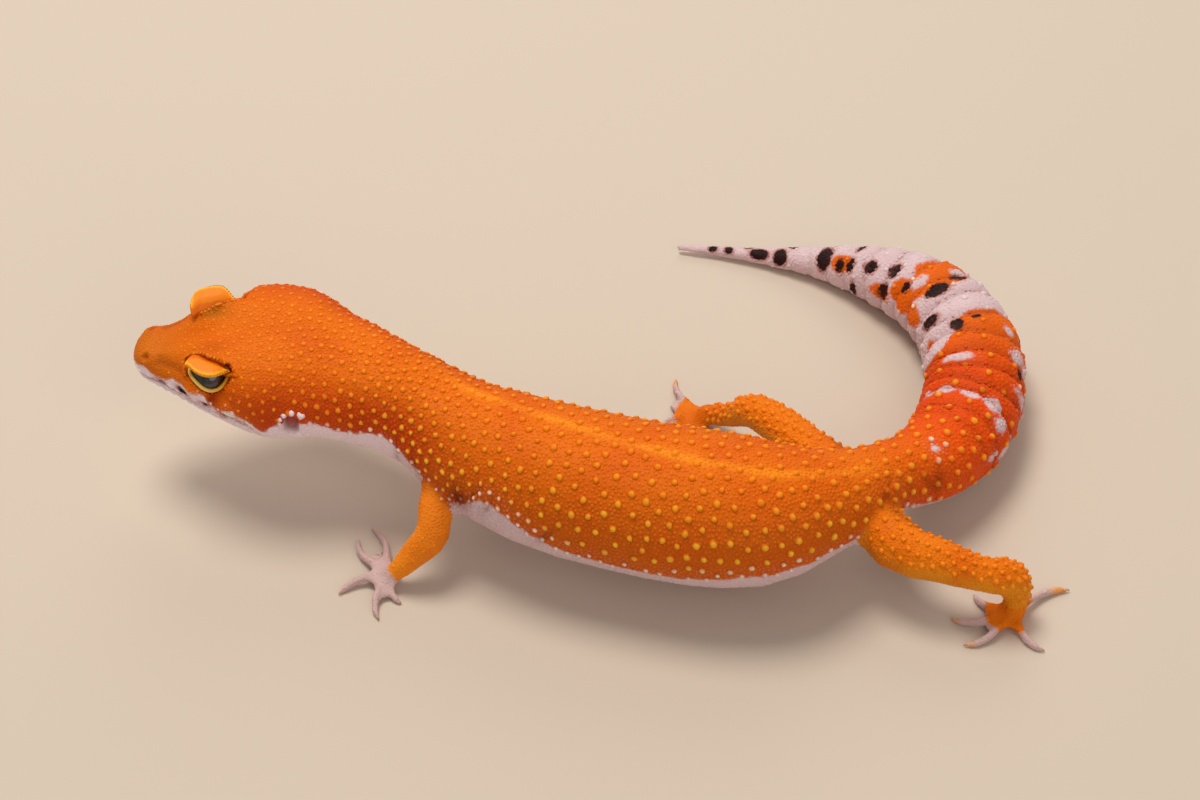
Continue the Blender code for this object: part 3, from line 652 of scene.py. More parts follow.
def markings(points, normals):
    """The shares and distances that every part of the hide is coloured by."""
    place = place_on_body(points)
    folded, _, _ = face_places(points)
    along, turn, leg, is_hind = place["along"], place["turn"], place["leg"], place["hind"]
    behind, _, height = folded.T
    half_girth = math.pi * place["radius"]
    body = 1 - leg
    face = smooth_step(27, 21, along) * body
    above_mouth = height - smooth_line(MOUTH_LINE, behind)
    belly = (np.abs(turn) - smooth_line(BELLY_EDGE, along)) * half_girth
    lip = smooth_line(LIP_EDGE, behind) - above_mouth
    pale = belly * (1 - face) + lip * face
    chalk = np.full(len(points), FAR_OUTSIDE)
    for far, up, reach, tall in CHEEK_PATCHES:
        oval = inside_oval(behind - far, above_mouth - up, reach, tall)
        chalk = np.where(face > 0.2, np.maximum(chalk, oval), chalk)
        pale = np.where(face > 0.2, np.maximum(pale, oval * 1.5), pale)

    def oval_on_body(spot_along, spot_turn, reach_along, reach_round):
        across = ((turn - spot_turn + 1) % 2 - 1) * half_girth
        return inside_oval(along - spot_along, across, reach_along, reach_round)

    tail = along - smooth_line(TAIL_EDGE, turn)
    for oval in TAIL_PATCHES:
        tail = np.minimum(tail, -oval_on_body(*oval))
    for oval in PALE_PATCHES:
        tail = np.maximum(tail, oval_on_body(*oval))
    on_tail = smooth_step(120, 134, along)
    pale = np.where(along > 120, np.maximum(pale * (1 - on_tail) + (pale - 1.5) * on_tail, tail), pale)

    spot = np.full(len(points), FAR_OUTSIDE)
    for *oval, darkness in TAIL_SPOTS:
        spot = np.maximum(spot, oval_on_body(*oval) - 0.28 * (1 - darkness))
    for far, up, reach, tall in LIP_BLOTCHES:
        oval = inside_oval(behind - far, above_mouth - up, reach, tall)
        spot = np.where(face > 0.5, np.maximum(spot, oval - 0.13), spot)
    spot = np.where(leg > 0.5, FAR_OUTSIDE, spot)

    past = place["past_wrist"] - np.where(is_hind, FOOT_EDGE["hind"], FOOT_EDGE["front"])
    under = (-normals[:, 2] - np.where(is_hind, 0.62, 0.55)) * 3.0
    foot = np.maximum(past, np.where(place["past_wrist"] < 1.5, under, under - 1.0))
    toe_tip = smooth_step(8.0, 9.8, place["past_wrist"]) * is_hind * leg
    pale = pale * body + foot * leg

    low = np.abs(turn)
    # Low on the flanks the ground turns browner: partly the skin's own colour, partly painted shade of the
    # lower side.
    flank = smooth_step(0.02, 0.42, low) * between(along, 30, 46, 118, 140) * body
    shaded = smooth_step(0.72, 0.0, normals[:, 2]) * leg * is_hind * (place["past_wrist"] < 0)
    red = smooth_step(112, 138, along) * (1 - 0.65 * smooth_step(146, 160, along)) * body
    # Redder low on the sides of the head and neck: partly the skin's own colour, partly painted shade.
    flush_and_shade = smooth_step(0.12, 0.36, low) * between(along, 14, 23, 46, 60) * body
    stripe = bell((turn - straight_line(STRIPE, along)) * half_girth, 0, 0.85)
    margin = np.interp(along, (30, 50, 60, 118, 128, 140), (1.3, 1.6, 4.2, 3.4, 1.4, 0.7))
    white = smooth_step(-1, -0.4, pale / margin) * body * (1 - smooth_step(14, 10, behind))
    stripe = stripe * between(along, 44, 54, 108, 118) * body
    snout = smooth_step(11, 3, behind) * body * smooth_step(30, 20, along)
    rust = bell(behind, 13.2, 0.95) * bell(above_mouth, 2.7, 0.95) * face
    # An olive tint on the brow, stronger on the right side as painted shade in the hollow between the crown
    # and the lid.
    olive_and_shade = bell(behind, 12.0, 2.6) * bell(folded[:, 1], 3.7, 1.4) * (height > 4) * (along < 30) * body
    olive_and_shade = olive_and_shade * np.where(to_head(points)[:, 1] < 0, 1.0, 0.45)
    # Painted light: the throat, jaw and lips are lightened as if lit from below by the floor.
    throat_bounce_light = smooth_step(56, 40, along) * body
    return {"pale": pale, "spot": spot, "flank": flank, "red": red, "flush_and_shade": flush_and_shade, "stripe": stripe,
            "snout": snout, "olive_and_shade": olive_and_shade, "rust": rust, "white": white, "chalk": chalk, "throat_bounce_light": throat_bounce_light,
            "limb": leg, "arm": leg * ~is_hind, "toe_tip": toe_tip, "shaded": shaded}


def put_values(data, values):
    for name, numbers in values.items():
        layer = data.attributes.new(name, "FLOAT", "POINT")
        layer.data.foreach_set("value", np.asarray(numbers, np.float32))


corners = corners_of(skin.data)
skin_normals = normals_of(skin.data)
skin_marks = markings(corners, skin_normals)
from_nostril = np.linalg.norm(folded - NOSTRIL, axis=1)
fold_fade = np.interp(place["along"], (130, 170, 200), (1, 0.6, 0.2))
# Painted shade: the mouth line, nostrils, brow groove, canthus, body creases, ear openings and hollows darken
# where shade falls.
crease_shade = np.max([
    np.clip(bell(above_mouth, 0, 0.24) * mouth_fade * smooth_step(-1.5, 0.3, behind), 0, 1),
    bell(from_nostril, 0, 0.42) * on_face,
    0.7 * bell(past_groove, 0.35, 0.45) * on_brow,
    0.4 * canthus,
    np.clip(fold * 1.1, 0, 0.5) * fold_fade,
    smooth_step(1.1, 0.75, ear_share_of(behind, height)) * (aside > CHEEK) * on_face,
], axis=0)
for along, turn, reach_down, reach_round, deep in SHADED_HOLLOWS:
    for side in (1, -1):
        down, across = apart_on_body(along, turn * side)
        crease_shade = np.maximum(crease_shade, deep * bell(down, 0, reach_down) * bell(across, 0, reach_round))
skin_marks["crease_shade"] = np.clip(crease_shade, 0, 1)
put_values(skin.data, skin_marks)


def srgb(red, green, blue):
    """A colour named by its screen values, 0 to 255, as the light it reflects."""
    return tuple(((part / 255 + 0.055) / 1.055) ** 2.4 for part in (red, green, blue)) + (1.0,)


def feed(node, sockets):
    """Sets a node's sockets, each to a plain value or from a tone."""
    for name, value in sockets.items():
        if isinstance(value, Tone):
            value.tree.links.new(value.socket, node.inputs[name])
        else:
            node.inputs[name].default_value = value


class Tone:
    """A value or colour in a material's nodes. Arithmetic on it adds the nodes that work it out."""

    def __init__(self, tree, socket=None):
        self.tree = tree
        self.socket = socket

    def node(self, kind, settings=None, sockets=None, output=0):
        made = self.tree.nodes.new(kind)
        for name, value in (settings or {}).items():
            setattr(made, name, value)
        feed(made, sockets or {})
        return Tone(self.tree, made.outputs[output])

    def noise(self, scale, detail):
        """Soft random patches over the surface, the smaller the greater the scale."""
        where = self.node("ShaderNodeTexCoord", output=3)
        return self.node("ShaderNodeTexNoise", {}, {"Vector": where, "Scale": scale, "Detail": detail})

    def cells(self, scale):
        """Fine cells over the surface, from 0 in the middle of each."""
        where = self.node("ShaderNodeTexCoord", output=3)
        return self.node("ShaderNodeTexVoronoi", {}, {"Vector": where, "Scale": scale})

    def mark(self, name):
        """One of the values that the mesh carries."""
        return self.node("ShaderNodeAttribute", {"attribute_name": name}, output=2)

    def sum_of(self, operation, first, second):
        return self.node("ShaderNodeMath", {"operation": operation}, {0: first, 1: second})

    def __add__(self, other):
        return self.sum_of("ADD", self, other)

    def __sub__(self, other):
        return self.sum_of("SUBTRACT", self, other)

    def __rsub__(self, other):
        return self.sum_of("SUBTRACT", other, self)

    def __mul__(self, other):
        return self.sum_of("MULTIPLY", self, other)

    __radd__ = __add__
    __rmul__ = __mul__

    def most(self, other):
        return self.sum_of("MAXIMUM", self, other)

    def step(self, low, high):
        """0 below low, 1 above high, and a smooth rise between."""
        ends = {"Value": self, "From Min": min(low, high), "From Max": max(low, high)}
        rise = self.node("ShaderNodeMapRange", {"interpolation_type": "SMOOTHSTEP"}, ends)
        return rise if low < high else 1 - rise


def laid_over(top, under, share):
    """One colour over another by a share; either may be a plain colour."""
    return share.node("ShaderNodeMix", {"data_type": "RGBA"}, {0: share, 6: under, 7: top}, 2)


def new_material(name):
    """An empty material, its shader, and a tone to make its nodes from."""
    made = bpy.data.materials.new(name)
    made.use_nodes = True
    return made, made.node_tree.nodes["Principled BSDF"], Tone(made.node_tree)


BACK_ORANGE = srgb(230, 110, 2)
# The flanks' own browner tone, deepened by painted shade.
FLANK_BROWN_AND_SHADE = srgb(208, 94, 2)
# The cheeks' own red, deepened by painted shade low on the sides of the head and neck.
CHEEK_RED_AND_SHADE = srgb(196, 60, 0)
TAIL_RED = srgb(230, 74, 0)
SNOUT_BROWN = srgb(208, 110, 18)
LEG_ORANGE = srgb(236, 124, 8)
# The front legs' own yellower orange, lightened with painted light where the lamps leave them in shade.
ARM_ORANGE_AND_LIGHT = srgb(255, 152, 34)
# The brow's own olive tint, with painted shade where it is stronger on the right.
BROW_OLIVE_AND_SHADE = srgb(176, 100, 14)
THIGH_YELLOW = srgb(232, 150, 30)
STRIPE_YELLOW = srgb(250, 146, 24)
PALE_SKIN = srgb(220, 192, 198)
# Painted light on the pale throat and jaw, as if lit from below by the floor.
THROAT_PAINTED_LIGHT = srgb(244, 222, 230)
PALE_HAND = srgb(208, 174, 168)
# Painted shade for creases and hollows, on the orange ground.
CREASE_SHADE_RED = srgb(104, 26, 8)
SPOT_DARK = srgb(38, 16, 16)
SPOT_EDGE = srgb(170, 74, 26)
RUST_RED = srgb(156, 32, 0)
MOTTLE_RED = srgb(214, 80, 0)
PALE_MOTTLE = srgb(208, 174, 180)
TOE_ORANGE = srgb(246, 160, 40)
# Painted shade for creases and hollows, on the pale skin.
CREASE_SHADE_PINK = srgb(142, 82, 74)
TIP_ORANGE = srgb(252, 148, 24)
TIP_YELLOW = srgb(246, 190, 50)
TIP_WHITE = srgb(248, 238, 218)
TIP_PALE = srgb(234, 216, 214)
SOFT_SPREAD = (1.0, 0.35, 0.15)  # how far red, green and blue light spread in skin, in shares


def hide_material(name, scaled, roughness, grain_depth):
    """The hide's colours, on the skin itself or, scaled, on a coat of scales with tips."""
    made, shader, start = new_material(name)
    mark = start.mark

    def marked(colour, *layers):
        """A colour with others laid over it, each by its share of one marking."""
        for top, marking, strength in layers:
            colour = laid_over(top, colour, mark(marking) * strength)
        return colour

    broad = start.noise(110.0, 3.0)
    small = start.noise(620.0, 3.0)
    wander = (small - 0.5) * 1.3
    pale = (mark("pale") + wander).step(-0.35, 0.35)
    # The flanks' brown, the cheeks' red and the brow's olive carry some painted shade; the front legs' orange
    # carries painted light.
    orange = marked(
        BACK_ORANGE, (FLANK_BROWN_AND_SHADE, "flank", 1.0), (CHEEK_RED_AND_SHADE, "flush_and_shade", 0.95), (TAIL_RED, "red", 1.0),
        (SNOUT_BROWN, "snout", 0.8), (BROW_OLIVE_AND_SHADE, "olive_and_shade", 0.8), (RUST_RED, "rust", 1.0),
        (LEG_ORANGE, "limb", 0.85), (ARM_ORANGE_AND_LIGHT, "arm", 0.85), (THIGH_YELLOW, "shaded", 0.85),
        (STRIPE_YELLOW, "stripe", 0.9))
    orange = laid_over(MOTTLE_RED, orange, broad.step(0.42, 0.66) * 0.4)
    if scaled:
        tip = mark("tip").step(0.15, 0.95)
        own = mark("own")
        shine = mark("shine")
        bright = laid_over(TIP_YELLOW, TIP_ORANGE, mark("flank").most(mark("red") * 0.45))
        bright = laid_over(TIP_WHITE, bright, mark("white"))
        orange = laid_over(bright, orange, tip * (0.62 + own * 0.38) * shine)
        pale_tone = laid_over(TIP_PALE, PALE_SKIN, tip * (0.3 + own * 0.5) * (0.15 + shine))
    else:
        pale_tone = laid_over(PALE_MOTTLE, PALE_SKIN, broad.step(0.4, 0.65) * 0.5)
    # Painted light lightens the pale throat and jaw, as if lit from below by the floor.
    pale_tone = marked(pale_tone, (THROAT_PAINTED_LIGHT, "throat_bounce_light", 1.0))
    pale_tone = laid_over(TIP_WHITE, pale_tone, mark("chalk").step(-0.15, 0.1) * 0.8)
    pale_tone = marked(pale_tone, (PALE_HAND, "limb", 0.75), (TOE_ORANGE, "toe_tip", 0.75))
    colour = laid_over(pale_tone, orange, pale)
    spot = mark("spot")
    colour = laid_over(SPOT_EDGE, colour, (spot + wander * 0.3).step(-0.5, -0.02) * 0.6)
    colour = laid_over(SPOT_DARK, colour, (spot + wander * 0.25).step(-0.12, 0.16))
    # Painted shade darkens the creases and hollows.
    colour = marked(colour, (laid_over(CREASE_SHADE_PINK, CREASE_SHADE_RED, pale), "crease_shade", 0.85))
    relief = start.cells(2600.0) * -1.0 + start.noise(3800.0, 2.0) * 0.5
    raised = {"Strength": 0.55, "Distance": grain_depth * MM, "Height": relief}
    feed(shader, {
        "Base Color": colour,
        "Roughness": small * 0.22 + (roughness - 0.11),
        "Normal": start.node("ShaderNodeBump", {}, raised),
        "Subsurface Weight": 0.06,
        "Subsurface Radius": SOFT_SPREAD,
        "Subsurface Scale": 0.9 * MM,
        "Specular IOR Level": 0.11,
    })
    return made


skin.data.materials.clear()
skin.data.materials.append(hide_material("bare hide", False, 0.56, 0.06))
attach(skin, "root")
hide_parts(*FLESH)

# Eyes. Large dark globes set deep under the brows, wet and glossy, with a brown iris and an upright
# slit. Each is a separate ball held by the sockets.
EYE_AXIS = unit(np.array((-0.20, 0.95, 0.16)))  # the way the left pupil looks, in the head
SLIT_HALF = (0.32, 2.2)  # half its width and half its height
CORNEA_RISE = 0.10
SIDES = (("left", 1), ("right", -1))


def head_point(points, sign):
    """Points of the left side of the head, or mirrored to the right for sign -1, in place."""
    return SNOUT_AT + (points * (1, sign, 1)) @ HEAD_FRAME


def finished(made, material):
    """Outward faces, smooth shading and a material; then the piece joins the model."""
    mesh = bmesh.new()
    mesh.from_mesh(made.data)
    bmesh.ops.recalc_face_normals(mesh, faces=mesh.faces)
    mesh.to_mesh(made.data)
    mesh.free()
    made.data.shade_smooth()
    made.data.materials.append(material)
    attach(made, "root")
    return made


def lofted(name, rings):
    """A closed solid through rings of points given in millimetres."""
    stations, sides = rings.shape[:2]
    grid = np.arange(stations * sides).reshape(stations, sides)
    first, after = grid[:-1], grid[1:]
    faces = np.stack([first, after, np.roll(after, -1, 1), np.roll(first, -1, 1)], -1).reshape(-1, 4).tolist()
    faces += [grid[0].tolist(), grid[-1, ::-1].tolist()]
    data = bpy.data.meshes.new(name)
    data.from_pydata((rings.reshape(-1, 3) * MM).tolist(), [], faces)
    return new_piece(name, data)


eye_material, shader, start = new_material("eye")
veins = start.noise(2400.0, 3.0)
iris = laid_over(srgb(74, 56, 44), srgb(34, 25, 26), veins.step(0.42, 0.66) * 0.55)
iris = laid_over(srgb(6, 5, 6), iris, (start.mark("slit") + (veins - 0.5) * 0.12).step(0.04, -0.04))
feed(shader, {"Base Color": iris, "Roughness": 0.22, "Coat Weight": 1.0, "Coat Roughness": 0.03})

across_eye = unit(np.cross(EYE_AXIS, (0, 0, 1.0)))
above_eye = np.cross(across_eye, EYE_AXIS)
polar = np.linspace(0.02, math.pi - 0.02, 34)[:, None]
around = np.linspace(0, math.tau, 48, endpoint=False)[None, :]
globe_reach = EYE_RADIUS + CORNEA_RISE * bell(polar, 0, 0.6)
level = globe_reach * np.sin(polar) * np.cos(around)
upright = globe_reach * np.sin(polar) * np.sin(around)
outward = np.broadcast_to(globe_reach * np.cos(polar), level.shape)
globe = EYE + level[..., None] * across_eye + upright[..., None] * above_eye + outward[..., None] * EYE_AXIS
slit_edge = np.abs(level) - SLIT_HALF[0] * np.sqrt(np.clip(1 - (upright / SLIT_HALF[1]) ** 2, 0, 1))
slit_edge = np.where((np.abs(upright) > SLIT_HALF[1]) | (outward < 0), 1.0, slit_edge)
for side, sign in SIDES:
    eye_ball = lofted("eyeball_" + side, head_point(globe, sign))
    put_values(eye_ball.data, {"slit": slit_edge.ravel()})
    finished(eye_ball, eye_material)
    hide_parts("eye_" + side)

# Upper lids. A leaf of skin arches over each eye like the peak of a cap, orange above with a thick
# yellow rim, pointed and free in front. It grows out of the brow and dips to the rear corner. The
# right one stands further forward than the left, and is fuller in front.
LID_DROP = 0.85  # how far the rear corner sinks
LID_AHEAD = 0.85  # how far forward the right lid stands
LID_FULLER = 0.18  # how far out
LIDS = (("left", 1, 0.0, 0.0), ("right", -1, LID_AHEAD, 1.7))  # side, sign, ahead, wider in front
LID_SHIFT = {1: (0.0, 0.0, 0.0), -1: (-LID_AHEAD, LID_FULLER, 0.0)}  # the fringe goes with each lid
LID_STATIONS, LID_SIDES = 44, 24
LID_SECTION = (
    # share of the way from crease to rim, then outward and up in thicknesses
    (0.0, -1.10, -0.72), (0.0, 0.0, -0.12), (0.30, 0.0, 0.26), (0.66, 0.0, 0.30), (1.0, -0.22, 0.18),
    (1.0, 0.0, -0.02), (1.0, -0.03, -0.24), (1.0, -0.40, -0.40), (0.45, 0.0, -0.62), (0.0, -0.60, -1.10),
)


def shaded_by(name, shades, roughness, grain, depth):
    """A material through three or more colours by the shade attribute, mottled, with a fine grain."""
    made, shader, start = new_material(name)
    mottle = start.noise(900.0, 3.0)
    value = start.mark("shade") + (mottle - 0.5) * 0.35
    colour = shades[0]
    for number, shade in enumerate(shades[1:]):
        low = number / (len(shades) - 1)
        colour = laid_over(shade, colour, value.step(low + 0.08, low + 1 / (len(shades) - 1)))
    raised = {"Strength": 0.6, "Distance": depth * MM, "Height": start.cells(grain) * -1.0}
    feed(shader, {
        "Base Color": colour,
        "Roughness": mottle * 0.3 + (roughness - 0.15),
        "Normal": start.node("ShaderNodeBump", {}, raised),
        "Specular IOR Level": 0.2,
        "Subsurface Weight": 0.05,
        "Subsurface Radius": SOFT_SPREAD,
        "Subsurface Scale": 0.6 * MM,
    })
    return made


lid_material = shaded_by("upper lid", (srgb(224, 108, 6), srgb(244, 134, 10), srgb(255, 184, 44)),
                         0.5, 3200.0, 0.05)
lid_stations = np.linspace(0.0, 1.0, LID_STATIONS)
lid_thickness = np.clip(2.4 * np.sin(math.pi * lid_stations) ** 0.7, 0.05, 1.0)
lid_drop = LID_DROP * smooth_step(0.62, 1.0, lid_stations)
section = np.array(LID_SECTION)
section = np.concatenate([section[-1:], section, section[:2]])
section = catmull(section, np.linspace(1, len(LID_SECTION) + 1, LID_SIDES, endpoint=False))
for side, sign, ahead, rooted in LIDS:
    root = lid_crease(lid_stations) - lid_drop - rooted * smooth_step(0.25, 0.0, lid_stations)
    fuller = LID_FULLER + 0.45 * bell(lid_stations, 0.15, 0.13) - 0.9 * smooth_step(0.05, 0.0, lid_stations)
    fuller = fuller * (ahead > 0)
    rim = np.maximum(lid_rim(lid_stations) - lid_drop + fuller, root + 0.02)
    out_at = root[:, None] + (rim - root)[:, None] * section[:, 0] + lid_thickness[:, None] * section[:, 1]
    up_at = LID_RISE - lid_drop[:, None] + lid_thickness[:, None] * section[:, 2]
    behind_at = LID_FRONT - ahead + (LID_REAR - LID_FRONT) * lid_stations[:, None] + 0 * out_at
    lid = lofted("upper_lid_" + side, head_point(np.stack([behind_at, out_at, up_at], 2), sign))
    from_rim = np.minimum(rim[:, None] - out_at, behind_at - behind_at[0] + 0.15)
    lid_shade = np.clip(1.2 - from_rim / 1.25, 0.46, 1) * (out_at > root[:, None] + 0.1)
    put_values(lid.data, {"shade": lid_shade.ravel()})
    finished(lid, lid_material)

# Lower lids. A slim rolled rim of yellow skin holds each eye from below, paler in front and olive
# behind, where it meets the upper lid.
RIM_TUBE = (0.30, 0.46)  # half thickness outward and up
RIM_STATIONS, RIM_SIDES = 64, 12
ring_material = shaded_by("lower lid", (srgb(246, 206, 108), srgb(244, 184, 60), srgb(190, 140, 22)),
                          0.42, 3600.0, 0.03)
ring_at = np.linspace(-102, 98, RIM_STATIONS)
ring_line = lower_rim(ring_at) - (0, 0, 0.08) - OPENING * 0.12
ring_out = unit(ring_line - OPENING * (ring_line @ OPENING)[:, None])
taper = np.clip(1.6 * np.sin(np.linspace(0.06, math.pi - 0.06, RIM_STATIONS)) ** 0.6, 0, 1)
turns = np.linspace(0, math.tau, RIM_SIDES, endpoint=False)
tube_out = RIM_TUBE[0] * taper[:, None] * np.cos(turns)
tube_up = RIM_TUBE[1] * taper[:, None] * np.sin(turns)
ring = EYE + ring_line[:, None] + tube_out[..., None] * ring_out[:, None] + tube_up[..., None] * OPENING
ring_shade = np.repeat(smooth_step(-10, 70, ring_at), RIM_SIDES)
for side, sign in SIDES:
    lower_lid = lofted("lower_lid_" + side, head_point(ring, sign))
    put_values(lower_lid.data, {"shade": ring_shade})
    finished(lower_lid, ring_material)

# Eardrums. A thin pink membrane closes each ear opening, sunk below the hide and darker toward the
# top. Each is a small domed plate, set where a line from the side of the head meets the skin.
drum_material = shaded_by("eardrum", (srgb(206, 140, 140), srgb(170, 70, 66), srgb(96, 26, 20)),
                          0.3, 1800.0, 0.05)
OUTSIDE_HEAD = 24.0  # clear of the head, to the side or above
DRUM_RINGS = (
    # share of the opening's size, then outward
    (0.05, 0.20), (0.5, 0.14), (0.85, 0.02), (1.0, -0.16), (0.8, -0.4), (0.05, -0.45),
)
skin.data.calc_loop_triangles()
skin_triangles = read(skin.data.loop_triangles, "vertices", 3, np.int32)
skin_surface = BVHTree.FromPolygons(corners.tolist(), skin_triangles.tolist())


def from_the_side(behind, height, sign):
    """Where a line from the side of the head, level with it, first meets the skin."""
    start_at = Vector(head_point(np.array((behind, OUTSIDE_HEAD, height)), sign))
    found, normal, _, _ = skin_surface.ray_cast(start_at, Vector((0, -sign, 0) @ HEAD_FRAME))
    return np.array(found), np.array(normal)


edge = np.stack([np.cos(turns) * EAR_REACH[0], 0 * turns, np.sin(turns) * EAR_REACH[1]], 1) * 1.02
for side, sign in SIDES:
    drum_middle, _ = from_the_side(EAR[0], EAR[1], sign)
    out_of_ear = np.array((0, sign, 0)) @ HEAD_FRAME
    drum_rings = []
    for share_out, outward in DRUM_RINGS:
        drum_rings.append(drum_middle + (edge * share_out) @ HEAD_FRAME + out_of_ear * (outward + 0.05))
    drum = lofted("eardrum_" + side, np.array(drum_rings))
    drum_up = (corners_of(drum.data) - drum_middle) @ UP
    put_values(drum.data, {"shade": 0.45 + 0.4 * np.asarray(drum_up) / EAR_REACH[1]})
    finished(drum, drum_material)
    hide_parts("ear_" + side)

# Claws. A small hook of pale horn stands at the end of each toe. Each is a tapering solid that bends
# down toward the floor, with its root sunk in the tip of the toe.
CLAW_LENGTH = 1.25
CLAW_ROOT = 0.27  # radius
CLAW_SUNK = 0.75  # into the toe
CLAW_BEND = 1.1  # radians
CLAW_RINGS, CLAW_SIDES = 9, 8
claw_material = shaded_by("claw", (srgb(214, 184, 170), srgb(204, 172, 146), srgb(160, 126, 100)),
                          0.3, 900.0, 0.01)
claw_turns = np.linspace(0, math.tau, CLAW_SIDES, endpoint=False)[:, None]
for name, (palm, toes) in TOES.items():
    for number, toe in enumerate(toes):
        line = toe_line(palm, *toe)
        tip_at = line[-1, :3]
        heading = unit(unit(tip_at - line[-2, :3]) * (1, 1, 0))
        claw_side = np.array((-heading[1], heading[0], 0.0))
        claw_rings = []
        for step in np.linspace(0, 1, CLAW_RINGS):
            bend = step * CLAW_BEND
            forward = math.sin(bend) / CLAW_BEND * CLAW_LENGTH - CLAW_SUNK
            rise = 0.16 + 0.10 * math.sin(step * math.pi) - 0.34 * step ** 2
            thick = CLAW_ROOT * (1 - step) ** 0.7 + 0.03
            aim = unit(heading * math.cos(bend * 0.6) - np.array((0, 0, 1.0)) * math.sin(bend * 0.6))
            claw_up = np.cross(aim, claw_side) * -1
            middle = tip_at + heading * forward + np.array((0, 0, rise))
            ring = np.cos(claw_turns) * claw_side * thick * 0.75 + np.sin(claw_turns) * claw_up * thick
            claw_rings.append(middle + ring)
        claw_rings = np.array(claw_rings)
        claw_rings[..., 2] = np.maximum(claw_rings[..., 2], 0.04)
        claw = lofted("claw_%s_%d" % (name, number + 1), claw_rings)
        put_values(claw.data, {"shade": np.repeat(np.linspace(0, 1.2, CLAW_RINGS), CLAW_SIDES)})
        finished(claw, claw_material)

# Scales, the shared way of making them. Each is a small closed dome sunk into the skin, leaning back
# along the body. It carries its root's markings, how high each corner stands and a value of its own.
DOME_GRAIN = ((1.0, -0.7), (0.74, 0.60), (0.0, 1.0))  # shares of the radius and of the height
DOME_STUD = ((1.18, -0.6), (0.98, 0.12), (0.70, 0.60), (0.36, 0.92), (0.0, 1.0))
SCALE_LEAN = 0.3  # back along the body, in heights
BAKE_PATCH = 0.0015  # half the width of a scale's patch on the map


def skin_spots(count, spacing_at, seed):
    """Random roots on the skin, more of them where the spacing is small; also their normals."""
    rng = np.random.default_rng(seed)
    a, b, c = (corners[skin_triangles[:, i]] for i in range(3))
    area = np.linalg.norm(np.cross(b - a, c - a), axis=1) / 2
    weight = area / spacing_at((a + b + c) / 3, skin_normals[skin_triangles[:, 0]]) ** 2
    chosen = rng.choice(len(area), count, p=weight / weight.sum())
    s, t = rng.random((2, count))
    flip = s + t > 1
    s, t = np.where(flip, 1 - s, s)[:, None], np.where(flip, 1 - t, t)[:, None]
    i, j, k = skin_triangles[chosen].T
    points = corners[i] * (1 - s - t) + corners[j] * s + corners[k] * t
    normals = unit(skin_normals[i] * (1 - s - t) + skin_normals[j] * s + skin_normals[k] * t)
    return points, normals


def thinned(points, spacing, keep_off=(), keep_off_reach=()):
    """Which points to keep so that none lies within the spacing of one before it."""
    tree = KDTree(len(points))
    for number, point in enumerate(points):
        tree.insert(point, number)
    tree.balance()
    alive = bytearray(b"\1") * len(points)
    for point, reach in zip(keep_off, keep_off_reach):
        for _, number, _ in tree.find_range(point, reach):
            alive[number] = 0
    kept = []
    for number, point in enumerate(points):
        if alive[number]:
            kept.append(number)
            for _, near, _ in tree.find_range(point, spacing[number]):
                alive[near] = 0
    return np.array(kept)


def bake_places(place):
    """Each root's place on the body laid out flat: the trunk on one sheet, each leg on its strip."""
    leg = place["leg"] > 0.5
    flat = np.stack([0.01 + place["along"] / 225, 0.01 + (place["turn"] + 1) * 0.38], 1)
    reach = np.clip((place["past_wrist"] + 32) / 46, 0, 1)
    strip_middle = 0.80 + LEG_NUMBER[place["leg_index"]] * 0.05 + 0.02
    strip = np.stack([0.01 + reach * 0.95, strip_middle + place["leg_turn"] * 0.018], 1)
    return np.where(leg[:, None], strip, flat)


def leg_turn_of(points, place):
    off = points - LEG[place["leg_index"]]
    ahead = LEG_AHEAD[place["leg_index"]]
    side = unit(np.cross(ahead, (0, 0, 1.0)))
    return np.arctan2((off * side).sum(1), (off * np.cross(side, ahead)).sum(1)) / math.pi


